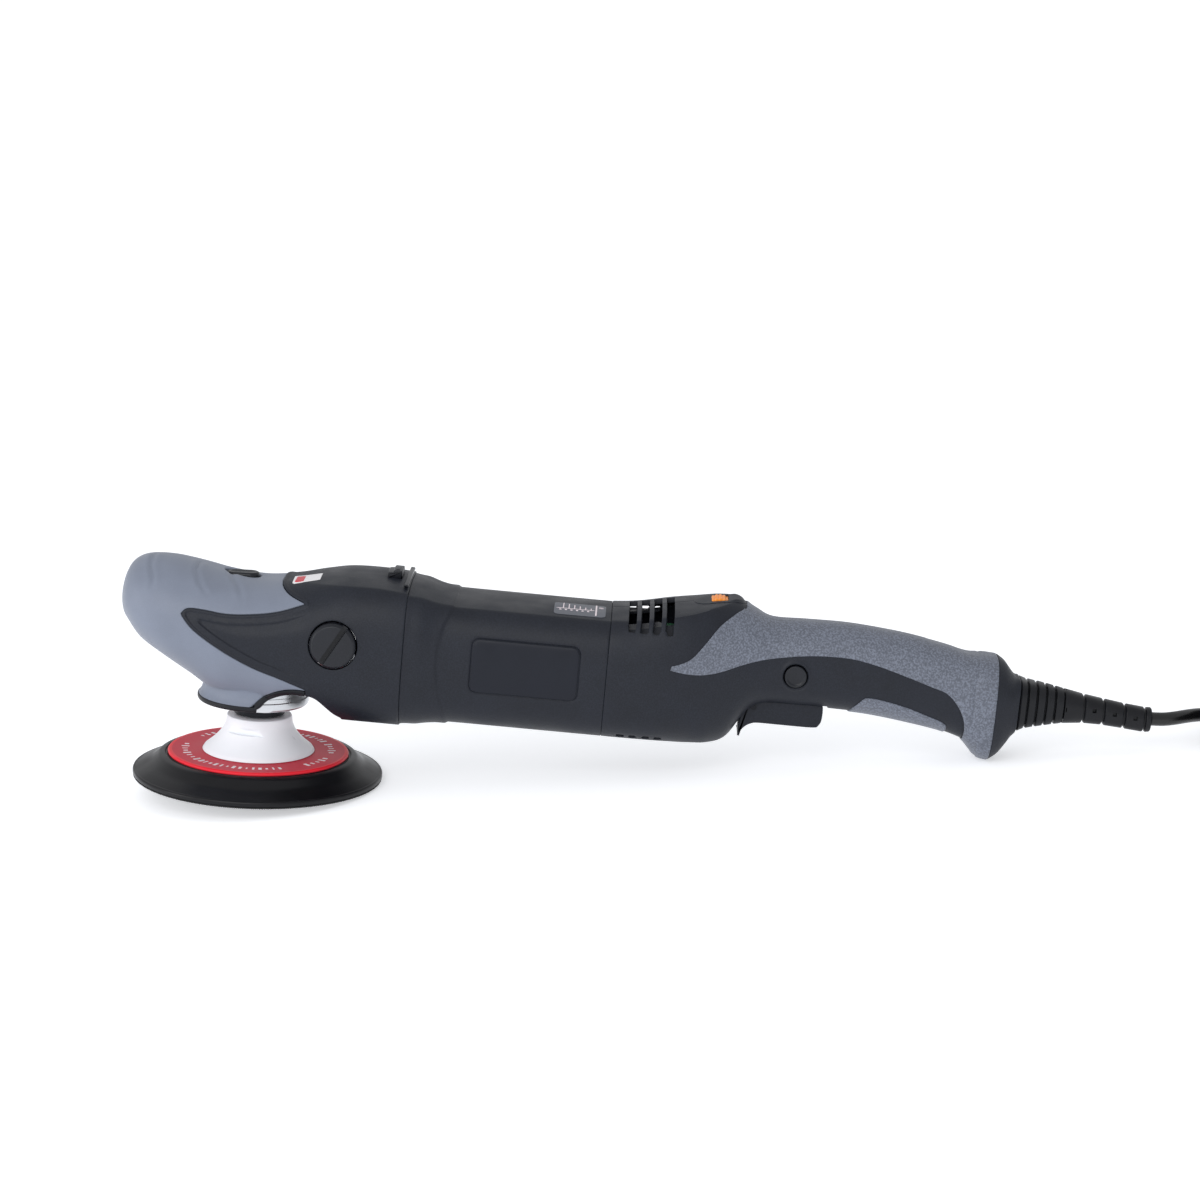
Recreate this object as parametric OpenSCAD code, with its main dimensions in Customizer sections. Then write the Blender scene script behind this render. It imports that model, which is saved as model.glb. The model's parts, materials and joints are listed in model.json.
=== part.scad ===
// Rotary polisher with a hook-and-loop backing plate, at rest on its pad and its handle foot.
//
// The modules below draw in the body frame: X runs along the motor axis towards the handle,
// Z is up, and the origin is where the spindle axis meets the motor axis.  Parts on the spindle
// are drawn in the spindle frame: Z up the spindle, zero at the pad's hook face.  rest_pose()
// then tilts the whole tool onto its two contact points.  All sizes are in millimetres.

/* [Backing plate] */
// Radius of the backing plate
pad_r = 62.5; // [61:0.5:64]
// Thickness of the pad's rim above the hook face
pad_rim = 2.4; // [1.5:0.1:3]
// Height of the red carrier disc above the hook face
disc_z = 12.2; // [11:0.1:13]
// Radius of the red carrier disc
disc_r = 45.2; // [42:0.1:47]
// Height of the hub's upper end above the hook face
hub_top = 32.4; // [31:0.1:33]

/* [Drive] */
// Height of the motor axis above the hook face, along the spindle
spindle_h = 72.8; // [72:0.1:74]
// Forward lean of the spindle against the motor axis, in degrees
spindle_lean = 2.3; // [1.5:0.1:3]
// Teeth of the crown gear
crown_teeth = 40; // [40:4:40]
// Teeth of the pinion
pinion_teeth = 10; // [10:1:10]
// Radius of the crown gear at the middle of its teeth
crown_r = 21.5; // [21:0.1:22]
// Radius of the armature's core
core_r = 17.2; // [16:0.1:17.4]
// Outer radius of the stator
stator_r = 28.1; // [27:0.1:28.1]

/* [Casing] */
// Where the gear cover ends and the motor housing starts
seam_front = 73; // [72:0.5:74]
// Where the motor housing ends and the handle starts
seam_rear = 173; // [172:0.5:174]
// Wall of the plastic casing
wall = 2.6; // [2:0.1:3]
// How far the soft covers stand proud of the hard casing
soft_proud = 0.6; // [0.4:0.1:0.8]

/* [Handle] */
// Middle height of the grip above the motor axis
grip_z = 10.5; // [9:0.5:12]
// Where the lock-on button sits along the handle
button_x = 266; // [264:0.5:268]
// Travel of the lock-on button
button_travel = 1.8; // [1.5:0.1:2]
// Squeeze of the trigger, in degrees
trigger_swing = 5; // [3:0.5:5]

/* [Cord] */
// Diameter of the mains cord
cord_d = 6.8; // [6.8:0.1:7]
// Radius of the coil at the middle of its turns
coil_r = 40; // [38:1:42]
// Turns of the coil side by side
coil_columns = 4; // [4:1:4]

/* [Hidden] */
$fn = 64;
CUT = 0.01;                 // overshoot of a cut through a face

// contact points, in the body frame: the pad's rear edge and the foot under the handle's end
foot_x = 366;
foot_z = -28.6;
pad_edge_x = pad_r * cos(spindle_lean) + spindle_h * sin(spindle_lean);
pad_edge_z = pad_r * sin(spindle_lean) - spindle_h * cos(spindle_lean);
rest_tilt = atan2(foot_z - pad_edge_z, foot_x - pad_edge_x);
rest_lift = pad_edge_x * sin(rest_tilt) - pad_edge_z * cos(rest_tilt);
pad_front_x = -pad_r * cos(spindle_lean) + spindle_h * sin(spindle_lean);
pad_front_z = -pad_r * sin(spindle_lean) - spindle_h * cos(spindle_lean);
relief_tip = [445, 0, -1];
rest_back = (pad_front_x * cos(rest_tilt) + pad_front_z * sin(rest_tilt)
    + relief_tip.x * cos(rest_tilt) + relief_tip.z * sin(rest_tilt)) / 2;

// outer form of the casing: [x, middle z, lowest z, top z, half width, half width of the flat top, power]
HEAD = [
    [-70, 16, 11, 21, 7, 1, 2],
    [-68.5, 16, 6, 27, 13, 2, 2],
    [-65, 15, 2, 32.5, 20, 3, 2],
    [-58, 12, -6, 36, 26.5, 3, 2],
    [-46, 7, -13, 36.5, 31.5, 3, 2.1],
    [-32, 3, -21, 34.5, 33.5, 4, 2.2],
    [-17, 0, -30, 31.5, 35, 5, 2.3],
    [0, 0, -33, 30, 35.5, 7, 2.4],
    [17, 0, -35, 32, 36, 12, 2.5],
    [30, 0, -36, 34.6, 36.5, 21, 2.7],
    [42, 0, -36.5, 36.6, 37, 26, 2.8],
    [58, 0, -36.6, 37, 37, 26.5, 2.8],
    [73, 0, -36.6, 36.2, 37, 27.5, 2.8]];
MOTOR = [
    [73, 0, -36, 35.6, 36.5, 28, 2.8],
    [79, 0, -35, 34.2, 35.6, 27, 2.8],
    [88, 0, -33.4, 31.4, 34, 25, 2.8],
    [98, 0, -33, 30.7, 33.6, 24.5, 2.8],
    [140, 0, -33, 30.6, 33.5, 24, 2.8],
    [173, 0, -33, 30.6, 33.5, 24, 2.8]];
REAR = [
    [173, 0, -33, 30.8, 33.5, 24, 2.8],
    [186, 0, -33, 32.2, 33.6, 25, 2.8],
    [202, 0, -33, 35.6, 33, 25, 2.7],
    [215, 2, -33, 38, 31, 22, 2.6],
    [226, 4, -32.4, 40.2, 27.5, 16, 2.5],
    [235, 6.5, -28.6, 40.8, 24, 7.5, 2.4],
    [244, 9, -15, 36.3, 21, 3, 2.3],
    [253, grip_z, -10.5, 32.6, 19, 3, 2.2],
    [270, grip_z, -10, 32.8, 18.2, 3, 2.2],
    [288, grip_z, -10, 33, 17.8, 3, 2.2],
    [304, grip_z, -10.6, 32, 17.8, 3, 2.2],
    [322, 9, -12.6, 30, 18, 3, 2.2],
    [340, 6.5, -15.4, 26.6, 18.5, 3, 2.2],
    [353, 4, -19, 23.6, 19, 3, 2.3]];
FLANGE = [
    [352, 1, -19, 24, 19.6, 4, 2.5],
    [356, 0, -23.4, 24.8, 20.2, 4, 2.6],
    [360, 0, -27.4, 25, 20.4, 4, 2.6],
    [366, 0, -28.6, 24.6, 20.4, 4, 2.6]];
RING_SIDE = 12;             // points from the bottom of a section to the edge of its top
RING_TOP = 3;               // points across half of its top

function mix(a, b, t) = a + (b - a) * t;
// a point t of the way from b to c on the smooth curve through a, b, c and d
function smooth(a, b, c, d, t) = 0.5 * (2 * b + (c - a) * t + (2 * a - 5 * b + 4 * c - d) * t * t
    + (3 * b - a - 3 * c + d) * t * t * t);
function at(list, i) = list[max(0, min(len(list) - 1, i))];
function refine(list, steps) = [for (i = [0:len(list) - 2]) for (k = [0:steps - 1])
    smooth(at(list, i - 1), list[i], list[i + 1], at(list, i + 2), k / steps), list[len(list) - 1]];
// the same form, thinner by d on every side
function inset(list, d) = [for (s = list) [s[0], s[1], s[2] + d, s[3] - d, s[4] - d, max(1, s[5] - d), s[6]]];
function part_of(list, low, high) = [for (s = list) if (s[0] >= low && s[0] <= high) s];

MOTOR_LABELS = part_of(MOTOR, 98, 173);     // the stretch of the motor housing that carries labels

// half of a section, from the bottom up to the middle of its top
function crown(s) = 0.0035 * s[5] * s[5];
function section_half(s) = let (power = s[6], side = acos(pow(s[5] / s[4], power / 2)),
    rise = (s[3] - crown(s) - s[1]) / pow(1 - pow(s[5] / s[4], power), 1 / power))
    concat([for (i = [0:RING_SIDE]) let (a = mix(-90, side, i / RING_SIDE), c = pow(abs(cos(a)), 2 / power),
            d = pow(abs(sin(a)), 2 / power))
            [s[4] * c, s[1] + (a < 0 ? (s[2] - s[1]) * d : rise * d)]],
        [for (i = [1:RING_TOP]) let (t = 1 - i / RING_TOP) [s[5] * t, s[3] - crown(s) * t * t]]);
function section(s) = let (half = section_half(s), n = len(half))
    concat([for (p = half) [s[0], -p.x, p.y]], [for (i = [n - 2:-1:1]) [s[0], half[i].x, half[i].y]]);

// a solid skinned over rings of points
module skin(rings) {
    n = len(rings[0]);
    last = len(rings) - 1;
    sides = [for (r = [0:last - 1]) for (i = [0:n - 1]) for (f = [0:1])
        let (a = r * n + i, b = r * n + (i + 1) % n) f == 0 ? [a, b, a + n] : [b, b + n, a + n]];
    polyhedron(points = [for (ring = rings) for (p = ring) p],
        faces = concat(sides, [[for (i = [n - 1:-1:0]) i], [for (i = [0:n - 1]) last * n + i]]),
        convexity = 6);
}
module form(list, steps = 2) skin([for (s = refine(list, steps)) section(s)]);

// a block whose outline is given in the X-Z plane
module plate_xz(points, low_y, high_y)
    translate([0, high_y, 0]) rotate([90, 0, 0]) linear_extrude(high_y - low_y) polygon(points);
module along_x(x) translate([x, 0, 0]) rotate([0, 90, 0]) children();
module tube_x(x, length, outer, inner) along_x(x) difference() {
    cylinder(r = outer, h = length);
    translate([0, 0, -CUT]) cylinder(r = inner, h = length + 2 * CUT);
}
module ring_z(z, length, outer, inner) translate([0, 0, z]) difference() {
    cylinder(r = outer, h = length);
    translate([0, 0, -CUT]) cylinder(r = inner, h = length + 2 * CUT);
}
module rest_pose() translate([-rest_back, 0, rest_lift]) rotate([0, rest_tilt, 0]) children();
module on_spindle() rotate([0, -spindle_lean, 0]) translate([0, 0, -spindle_h]) children();
module both_sides() {
    children();
    mirror([0, 1, 0]) children();
}
// a ball bearing as one solid: two races joined by the shield, with its outer and inner radii
module bearing(outer, inner, width) color("silver") rotate_extrude() polygon([[inner, 0], [inner + 1.6, 0],
    [inner + 1.6, 0.4], [outer - 1.6, 0.4], [outer - 1.6, 0], [outer, 0], [outer, width],
    [outer - 1.6, width], [outer - 1.6, width - 0.4], [inner + 1.6, width - 0.4], [inner + 1.6, width],
    [inner, width]]);
module screw(length, shank = 1.9, head = 3.6) color("dimgray") {
    cylinder(r = shank, h = length);
    difference() {
        translate([0, 0, length]) cylinder(r = head, h = 2.4);
        translate([-0.5, -2.4, length + 1.2]) cube([1, 4.8, 2]);
        translate([-2.4, -0.5, length + 1.2]) cube([4.8, 1, 2]);
    }
}
// a coil spring, closed up as a plain sleeve
module spring_sleeve(outer, wire, length) color("silver") difference() {
    cylinder(r = outer, h = length);
    translate([0, 0, -CUT]) cylinder(r = outer - wire, h = length + 2 * CUT);
}

// ---- head ----
// outline of the hard cover on the head's side: the fin over the hood and everything behind it
COVER_EDGE = [[11, 60], [10.4, 34], [10.1, 30.4], [15.1, 27.2], [24, 24.6], [12, 20], [0, 17.5], [-14, 16.3],
    [-26, 17.3], [-33.5, 17.2], [-36.5, 14.5], [-30, 7.5], [-16, -1], [0, -8.5], [14, -13], [27, -17.5],
    [27, -60], [80, -60], [80, 60]];
SKIRT_H = 43.2;             // lower edge of the hood, along the spindle
CASE_R = 28.4;              // radius of the gear case
NECK_R = 24;                // radius of the gear case's neck
// the arch under the head behind the neck
ARCH = [[2, -80], [2, -31.6], [4.5, -29.6], [8, -26.4], [14.4, -22.7], [21, -20.9], [28, -21], [32.5, -22.6],
    [37, -26.6], [40.5, -30.2], [44, -33], [45, -80]];
module below_head() {
    on_spindle() translate([-80, -50, -40]) cube([84, 100, 40 + SKIRT_H]);
    plate_xz(ARCH, -50, 50);
}
// room for the gear case inside the head
module gear_room() on_spindle() {
    translate([0, 0, 30]) cylinder(r = NECK_R + 0.8, h = 30);
    translate([0, 0, 51.4]) cylinder(r = CASE_R + 0.5, h = 12);
}
// the flared foot of the hood round the neck
module neck_flare() on_spindle() rotate_extrude() polygon([[25.8, SKIRT_H], [30.4, SKIRT_H], [29.3, 45],
    [28.6, 47], [28.4, 49], [28.6, 51], [28.6, 53], [25.8, 53]]);
module head_shell() difference() {
    union() {
        form(HEAD);
        neck_flare();
    }
    form(concat([[-67, 16, 12, 20, 6, 1, 2]], inset(part_of(HEAD, -65, 58), wall),
        [[75, 0, -33.9, 33.5, 34.3, 25, 2.8]]));
    gear_room();
    below_head();
}
module lock_button_hole(grow = 0) on_spindle() translate([-10, 0, spindle_h + 14]) linear_extrude(40) hull() {
    for (s = [-1, 1]) translate([s * 3.4, 0]) circle(r = 5.2 + grow, $fn = 32);
}
module front_hood() color([0.5, 0.52, 0.56]) difference() {
    head_shell();
    plate_xz(COVER_EDGE, -60, 60);
    lock_button_hole(0.4);
}
module gear_cover() color([0.2, 0.21, 0.24]) difference() {
    intersection() {
        head_shell();
        plate_xz(COVER_EDGE, -60, 60);
    }
    translate([39, -60, 6.7]) rotate([-90, 0, 0]) cylinder(r = 12, h = 120);
}
module skirt_trim() color([0.1, 0.1, 0.11]) on_spindle() intersection() {
    ring_z(SKIRT_H - 2.7, 2.65, 31, 26.4);
    translate([-40, -40, 30]) cube([41, 80, 20]);
}
module cover_latch() color([0.13, 0.13, 0.15]) translate([61, -7, 36.9]) difference() {
    cube([7.4, 14, 3.6]);
    translate([-1, -1, 2.4]) cube([2.6, 16, 2]);
}
module side_handle_plugs() color([0.16, 0.17, 0.19]) both_sides() translate([39, 0, 6.7]) rotate([-90, 0, 0])
    difference() {
        union() {
            translate([0, 0, 30.8]) cylinder(r = 6.9, h = 4.2);
            translate([0, 0, 35]) cylinder(r = 11.4, h = 3.4);
            translate([0, 0, 38.4]) cylinder(r1 = 11.4, r2 = 10.4, h = 1.1);
        }
        rotate([0, 0, 60]) translate([-20, -1.5, 37]) cube([40, 3, 4]);
    }

// ---- gear case ----
LOWER_BEARING = [17.5, 7.5, 11, 43];    // outer and inner radius, width, height on the spindle
UPPER_BEARING = [11, 4, 7, 86];
FRONT_BEARING = [15, 5, 9, 31];         // the same, with its place along the motor axis
REAR_BEARING = [11, 4, 7, 162];
module gear_housing() color([0.78, 0.79, 0.8]) difference() {
    union() {
        on_spindle() {
            translate([0, 0, 52]) cylinder(r = CASE_R, h = 30);
            translate([0, 0, 45.5]) cylinder(r = NECK_R, h = 7);
            translate([0, 0, 82 - CUT]) cylinder(r = 17, h = 13);
            translate([0, 0, 82 - CUT]) cylinder(r1 = 26, r2 = 17, h = 6);
        }
        along_x(18) cylinder(r = 19, h = 28);
        along_x(45) cylinder(r = 31, h = 4.5);
        both_sides() translate([39, 14, 6.7]) rotate([-90, 0, 0]) cylinder(r = 10, h = 20.4);
    }
    on_spindle() {
        translate([0, 0, 55]) cylinder(r = CASE_R - 3, h = 25);
        translate([0, 0, LOWER_BEARING[3] - 3]) cylinder(r = LOWER_BEARING[0], h = LOWER_BEARING[2] + 4);
        translate([0, 0, UPPER_BEARING[3]]) cylinder(r = UPPER_BEARING[0], h = UPPER_BEARING[2]);
        translate([0, 0, 79]) cylinder(r = 8, h = 20);
        translate([LOCK_PIN_X, 0, 79]) cylinder(r = 2.3, h = 20);
    }
    along_x(18) cylinder(r = 9, h = 30);
    along_x(FRONT_BEARING[3]) cylinder(r = FRONT_BEARING[0], h = FRONT_BEARING[2]);
    along_x(40) cylinder(r = 13, h = 10);
    both_sides() translate([39, 21, 6.7]) rotate([-90, 0, 0]) cylinder(r = 7, h = 20);
    for (a = [45:90:315]) along_x(40) rotate([0, 0, a]) translate([27.5, 0, 0]) cylinder(r = 1.9, h = 12);
}
module neck_collar() color([0.8, 0.81, 0.82]) on_spindle() difference() {
    union() {
        ring_z(38.6, 4.4, 24.4, 14.5);
        ring_z(43 - CUT, 2.4, NECK_R, 17.6);
    }
    for (s = [-1, 1]) translate([-14, s * 24 - 1.4, 38]) cube([28, 2.8, 3.4]);
}
module gear_case_screws() for (a = [45:90:315]) along_x(41) rotate([0, 0, a]) translate([27.5, 0, 8.6])
    mirror([0, 0, 1]) translate([0, 0, -2.4]) screw(8.5, 1.85, 3.2);
LOCK_PIN_X = -13.6;
module spindle_lock_button() color([0.24, 0.25, 0.28]) on_spindle() {
    translate([-10, 0, 100.6]) linear_extrude(4.4) hull() {
        for (s = [-1, 1]) translate([s * 3.4, 0]) circle(r = 4.8, $fn = 32);
    }
    translate([LOCK_PIN_X, 0, 66.2]) cylinder(r = 2.2, h = 34.5);
}
module lock_spring() on_spindle() translate([LOCK_PIN_X, 0, 95.6]) spring_sleeve(3.6, 0.9, 4.9);

// ---- spindle and backing plate ----
THREAD_R = 6.9;             // M14 end of the spindle
module spindle() color([0.6, 0.61, 0.63]) on_spindle() rotate_extrude() polygon([[0, 15.5], [5.9, 15.5],
    [THREAD_R, 16.5], [THREAD_R, 33.2], [12.6, 33.2], [12.6, 37.6], [9, 37.6], [9, 42.9],
    [LOWER_BEARING[1], 42.9], [LOWER_BEARING[1], 56], [6, 56], [6, 84], [UPPER_BEARING[1], 84],
    [UPPER_BEARING[1], 94], [0, 94]]);
module spindle_bearing_lower() on_spindle() translate([0, 0, LOWER_BEARING[3]])
    bearing(LOWER_BEARING[0] - 0.02, LOWER_BEARING[1] + 0.02, LOWER_BEARING[2]);
module spindle_bearing_upper() on_spindle() translate([0, 0, UPPER_BEARING[3]])
    bearing(UPPER_BEARING[0] - 0.02, UPPER_BEARING[1] + 0.02, UPPER_BEARING[2]);
pitch_r = crown_r * pinion_teeth / crown_teeth;     // pitch radius of the pinion
tooth_high = 1.9;           // height of the crown gear's teeth
tooth_long = 4;             // length of the teeth along the radius
CROWN_H = spindle_h - pitch_r - 2;      // face of the crown gear between its teeth, along the spindle
module crown_gear() color([0.45, 0.46, 0.48]) on_spindle() translate([0, 0, CROWN_H]) difference() {
    union() {
        translate([0, 0, -7]) cylinder(r = crown_r + tooth_long / 2 + 0.6, h = 7);
        translate([0, 0, -9.4]) cylinder(r = 11, h = 3);
        for (i = [0:crown_teeth - 1]) rotate([0, 0, (i + 0.5) * 360 / crown_teeth])
            translate([crown_r - tooth_long / 2, 0, 0]) rotate([90, 0, 90]) linear_extrude(tooth_long)
                polygon([[-0.75, -0.3], [0.75, -0.3], [0.4, tooth_high], [-0.4, tooth_high]]);
    }
    translate([0, 0, -10]) cylinder(r = 6.02, h = 14);
    for (i = [0:11]) rotate([0, 0, 30 * i]) translate([LOCK_PIN_X, 0, -4.5]) cylinder(r = 2.7, h = 6);
}
HUB_CURVE = 6;              // steps of the flare of the hub
module backing_hub() color([0.95, 0.95, 0.97]) on_spindle() difference() {
    rotate_extrude() polygon(concat([[9.8, disc_z + 1.6]],
        [for (i = [0:HUB_CURVE]) let (t = i / HUB_CURVE)
            [16.4 + 11.6 * pow(1 - t, 2), disc_z + 1.6 + 1 + (hub_top - disc_z - 3.6) * t]],
        [[15.6, hub_top], [9.8, hub_top]]));
    for (s = [-1, 1]) translate([-20, s * 16.9 - 3, 25.5]) cube([40, 6, 4.5]);
}
module hub_insert() color([0.65, 0.66, 0.68]) on_spindle() difference() {
    translate([0, 0, disc_z + 1.6]) cylinder(r = 9.75, h = hub_top - disc_z - 1);
    translate([0, 0, disc_z]) cylinder(r = THREAD_R + 0.05, h = 24);
}
module backing_disc() color([0.8, 0.12, 0.18]) on_spindle() rotate_extrude() polygon([[9, disc_z],
    [disc_r, disc_z], [disc_r, disc_z + 0.6], [disc_r - 1, disc_z + 1.6], [9, disc_z + 1.6]]);
module backing_pad() color([0.12, 0.12, 0.13]) on_spindle() rotate_extrude() polygon([[9, 1.4],
    [pad_r, 1.4], [pad_r, 1.4 + pad_rim - 0.7], [pad_r - 0.8, 1.4 + pad_rim], [57.5, 5.6],
    [51, 9], [47, disc_z - 0.6], [disc_r + 0.8, disc_z], [9, disc_z]]);
module hook_face() color([0.08, 0.08, 0.09]) on_spindle() ring_z(0, 1.4, pad_r, 9);

// ---- motor ----
// one pinion tooth points straight down, into a gap of the crown gear
module pinion() color([0.5, 0.51, 0.53]) along_x(18.6) difference() {
    union() {
        cylinder(r = pitch_r - 1.25, h = 6.8);
        for (i = [0:pinion_teeth - 1]) rotate([0, 0, i * 360 / pinion_teeth]) linear_extrude(6.8)
            polygon([[3.4, -0.8], [pitch_r - 1.2, -0.8], [pitch_r + 0.75, -0.35], [pitch_r + 0.75, 0.35],
                [pitch_r - 1.2, 0.8], [3.4, 0.8]]);
    }
    translate([0, 0, -1]) cylinder(r = 2.5, h = 9);
}
module armature_shaft() color([0.62, 0.63, 0.65]) along_x(0) rotate_extrude() polygon([[0, 17.8], [2.48, 17.8],
    [2.48, 25.5], [4.98, 25.5], [4.98, 160], [3.98, 160], [3.98, 170.5], [0, 170.5]]);
module armature_core() color([0.5, 0.5, 0.52]) along_x(84) difference() {
    cylinder(r = core_r, h = 46);
    translate([0, 0, -1]) cylinder(r = 5, h = 48);
    for (i = [0:11]) rotate([0, 0, 30 * i]) translate([core_r - 5.5, -1, -1]) cube([7, 2, 48]);
}
module armature_windings() color([0.72, 0.4, 0.2]) {
    along_x(75.5) rotate_extrude() polygon([[5.4, 2], [9, 0], [14, 2], [15.6, 8.4], [5.4, 8.4]]);
    along_x(130.1) rotate_extrude() polygon([[5.4, 0], [15.6, 0], [13.5, 6.5], [9.5, 9.5], [5.4, 9.5]]);
}
module commutator() color([0.75, 0.48, 0.28]) along_x(142) difference() {
    cylinder(r = 11.5, h = 14);
    translate([0, 0, -1]) cylinder(r = 5, h = 16);
    for (i = [0:11]) rotate([0, 0, 30 * i]) translate([10.4, -0.25, -1]) cube([2, 0.5, 16]);
}
module fan() color([0.2, 0.2, 0.22]) along_x(52) difference() {
    union() {
        cylinder(r = 26, h = 2);
        cylinder(r = 9, h = 12);
        for (i = [0:10]) rotate([0, 0, i * 360 / 11]) translate([7, -0.8, 1]) cube([18.4, 1.6, 10]);
    }
    translate([0, 0, -1]) cylinder(r = 5, h = 15);
}
module armature_bearing_front() along_x(FRONT_BEARING[3])
    bearing(FRONT_BEARING[0] - 0.02, FRONT_BEARING[1] + 0.02, FRONT_BEARING[2]);
module armature_bearing_rear() along_x(REAR_BEARING[3])
    bearing(REAR_BEARING[0] - 0.02, REAR_BEARING[1] + 0.02, REAR_BEARING[2]);
module air_baffle() color([0.18, 0.18, 0.2]) along_x(66.5) rotate_extrude() polygon([[19, 0], [30, 2], [30, 6],
    [28, 6], [28, 3.6], [19, 1.8]]);
module stator_core() color([0.42, 0.42, 0.44]) difference() {
    tube_x(82, 50, stator_r, core_r + 0.6);
    both_sides() translate([80, 15.5, -5]) cube([54, 8.5, 10]);
}
module field_coils() color([0.7, 0.38, 0.18]) for (x = [74.5, 132.1]) along_x(x) difference() {
    ring_z(0, 7.3, 26, 19);
    for (s = [-1, 1]) translate([-3.5, s * 22 - 6, -1]) cube([7, 12, 10]);
}
module motor_housing() color([0.19, 0.2, 0.22]) {
    difference() {
        form(MOTOR);
        along_x(72) cylinder(r = stator_r + 0.1, h = 102);
        both_sides() translate([148.5, 20, 0]) rotate([-90, 0, 0]) cylinder(r = 6.6, h = 9);
    }
    difference() {
        union() {
            along_x(160) cylinder(r = 13.6, h = 9);
            for (a = [45, 135]) along_x(163) rotate([0, 0, a]) translate([-28.15, -2.2, 0]) cube([56.3, 4.4, 6]);
        }
        along_x(159.9) cylinder(r = REAR_BEARING[0], h = REAR_BEARING[2] + 2.1);
        along_x(150) cylinder(r = 8, h = 30);
    }
}
module brush_holders() color([0.7, 0.58, 0.3]) both_sides() translate([144.5, 12.6, -4.4]) difference() {
    cube([8, 13.8, 8.8]);
    translate([1, -1, 1.2]) cube([6, 13.6, 6.4]);
}
module brushes() color([0.15, 0.15, 0.16]) both_sides() translate([145.6, 11.6, -3.1]) cube([5.8, 9, 6.2]);
module brush_springs() both_sides() translate([148.5, 20.7, 0]) rotate([-90, 0, 0]) spring_sleeve(2.4, 0.6, 4.3);
LABEL_GAP = 0.06;           // layer of glue under a label
module name_plate() color([0.16, 0.17, 0.19]) intersection() {
    difference() {
        form(inset(MOTOR_LABELS, -0.35), 1);
        form(inset(MOTOR_LABELS, -LABEL_GAP), 1);
    }
    plate_xz([[107, -10.6], [159, -10.2], [159, 15.6], [107, 15.6]], -60, 0);
}
module speed_label() color([0.6, 0.62, 0.66]) intersection() {
    difference() {
        form(inset(MOTOR_LABELS, -0.3), 1);
        form(inset(MOTOR_LABELS, -LABEL_GAP), 1);
    }
    translate([144.4, -20, 20]) cube([25.6, 20, 20]);
}
module hood_sticker() color([0.92, 0.9, 0.9]) intersection() {
    difference() {
        form(inset(part_of(HEAD, -17, 58), -0.35));
        form(inset(part_of(HEAD, -17, 58), -LABEL_GAP));
    }
    plate_xz([[14.8, 24], [14.8, 40], [28.6, 42], [28.6, 24]], -15, -2);
}

// ---- handle ----
// the room for the trigger and its switch under the handle
TRIGGER_ROOM = [[240.5, -40], [240.5, -16], [243, -4.2], [284.6, -4.2], [284.6, -40]];
module dial_room() translate([226, -6.2, 33.5]) rotate([-90, 0, 0]) cylinder(r = 9.6, h = 12.4);
module rear_solid() {
    form(REAR);
    form(FLANGE, 1);
}
module vent_slots() {
    for (i = [0:3]) translate([181.5 + 6.1 * i, 0, 25.4]) {
        translate([0, -40, 0]) cube([3.9, 57, 30]);
        cube([3.9, 40, 3.6]);
    }
    both_sides() for (i = [0:3]) translate([180.5 + 6.2 * i, -34, -40]) cube([3.9, 14.5, 12]);
}
// outline of the soft cover over the handle
GRIP_EDGE = [[241, 50], [239, 39.5], [234, 36.5], [226.5, 31], [219.5, 22], [213.5, 15], [207, 11.8],
    [200.6, 10.2], [205.5, 8.6], [214, 7.4], [222, 7.6], [230, 9.4], [238, 12.2], [247, 14.8], [258, 17],
    [272, 19], [286, 19.6], [296, 19], [308, 16.6], [321, 13], [333, 9.4], [341, 6.8], [347, 1],
    [350.6, -6], [351.6, -12], [351.6, -60], [366, -60], [366, 50]];
module rear_half(side) color([0.18, 0.19, 0.21]) difference() {
    intersection() {
        rear_solid();
        translate([170, side > 0 ? 0 : -60, -60]) cube([182, 60, 120]);
    }
    form(concat([[172, 0, -30.4, 28.2, 30.9, 21.6, 2.8]], inset(part_of(REAR, 186, 340), wall),
        [[350, 4.5, -14, 21, 16, 2, 2.3]]));
    vent_slots();
    dial_room();
    plate_xz(TRIGGER_ROOM, -8.8, 8.8);
    if (side < 0) translate([button_x, -10, 8.3]) rotate([90, 0, 0]) cylinder(r = 6.3, h = 20);
}
module rear_housing_left() rear_half(-1);
module rear_housing_right() rear_half(1);
SCREW_SPOTS = [[180, -22], [236, 22], [300, 14], [336, 4]];
module handle_screws() for (p = SCREW_SPOTS) translate([p.x, -8, p.y]) rotate([-90, 0, 0]) screw(16, 1.6, 3.1);
module grip_skin(outline, list = REAR) intersection() {
    difference() {
        form(inset(list, -soft_proud));
        form(inset(list, -0.02));
    }
    plate_xz(outline, -60, 60);
}
module rear_grip() color([0.45, 0.47, 0.51]) difference() {
    union() {
        grip_skin([for (p = GRIP_EDGE) [min(p.x, 352.4), p.y]]);
        intersection() {
            difference() {
                form(FLANGE, 1);
                form([[351, 2, -18, 22, 16, 3, 2.4], [367, 2, -18, 21.5, 16, 3, 2.4]], 1);
            }
            translate([352.4, -60, -60]) cube([20, 120, 120]);
        }
    }
    translate([212.8, -9.7, 30]) cube([26.4, 19.4, 20]);
}
INLAY_EDGE = [[294.6, -14], [300, -1.5], [304, 0.3], [312, -0.6], [323, -3], [334, -6.6], [341.5, -9.4],
    [343.4, -13], [341, -22], [318, -22]];
module grip_inlay() color([0.45, 0.47, 0.51]) grip_skin(INLAY_EDGE, part_of(REAR, 270, 353));
module dial_bezel() color([0.08, 0.08, 0.09]) difference() {
    intersection() {
        difference() {
            form(inset(part_of(REAR, 202, 253), -1.1));
            form(inset(part_of(REAR, 202, 253), -0.02));
        }
        translate([213, -9.5, 30]) cube([26, 19, 20]);
    }
    dial_room();
}
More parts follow.
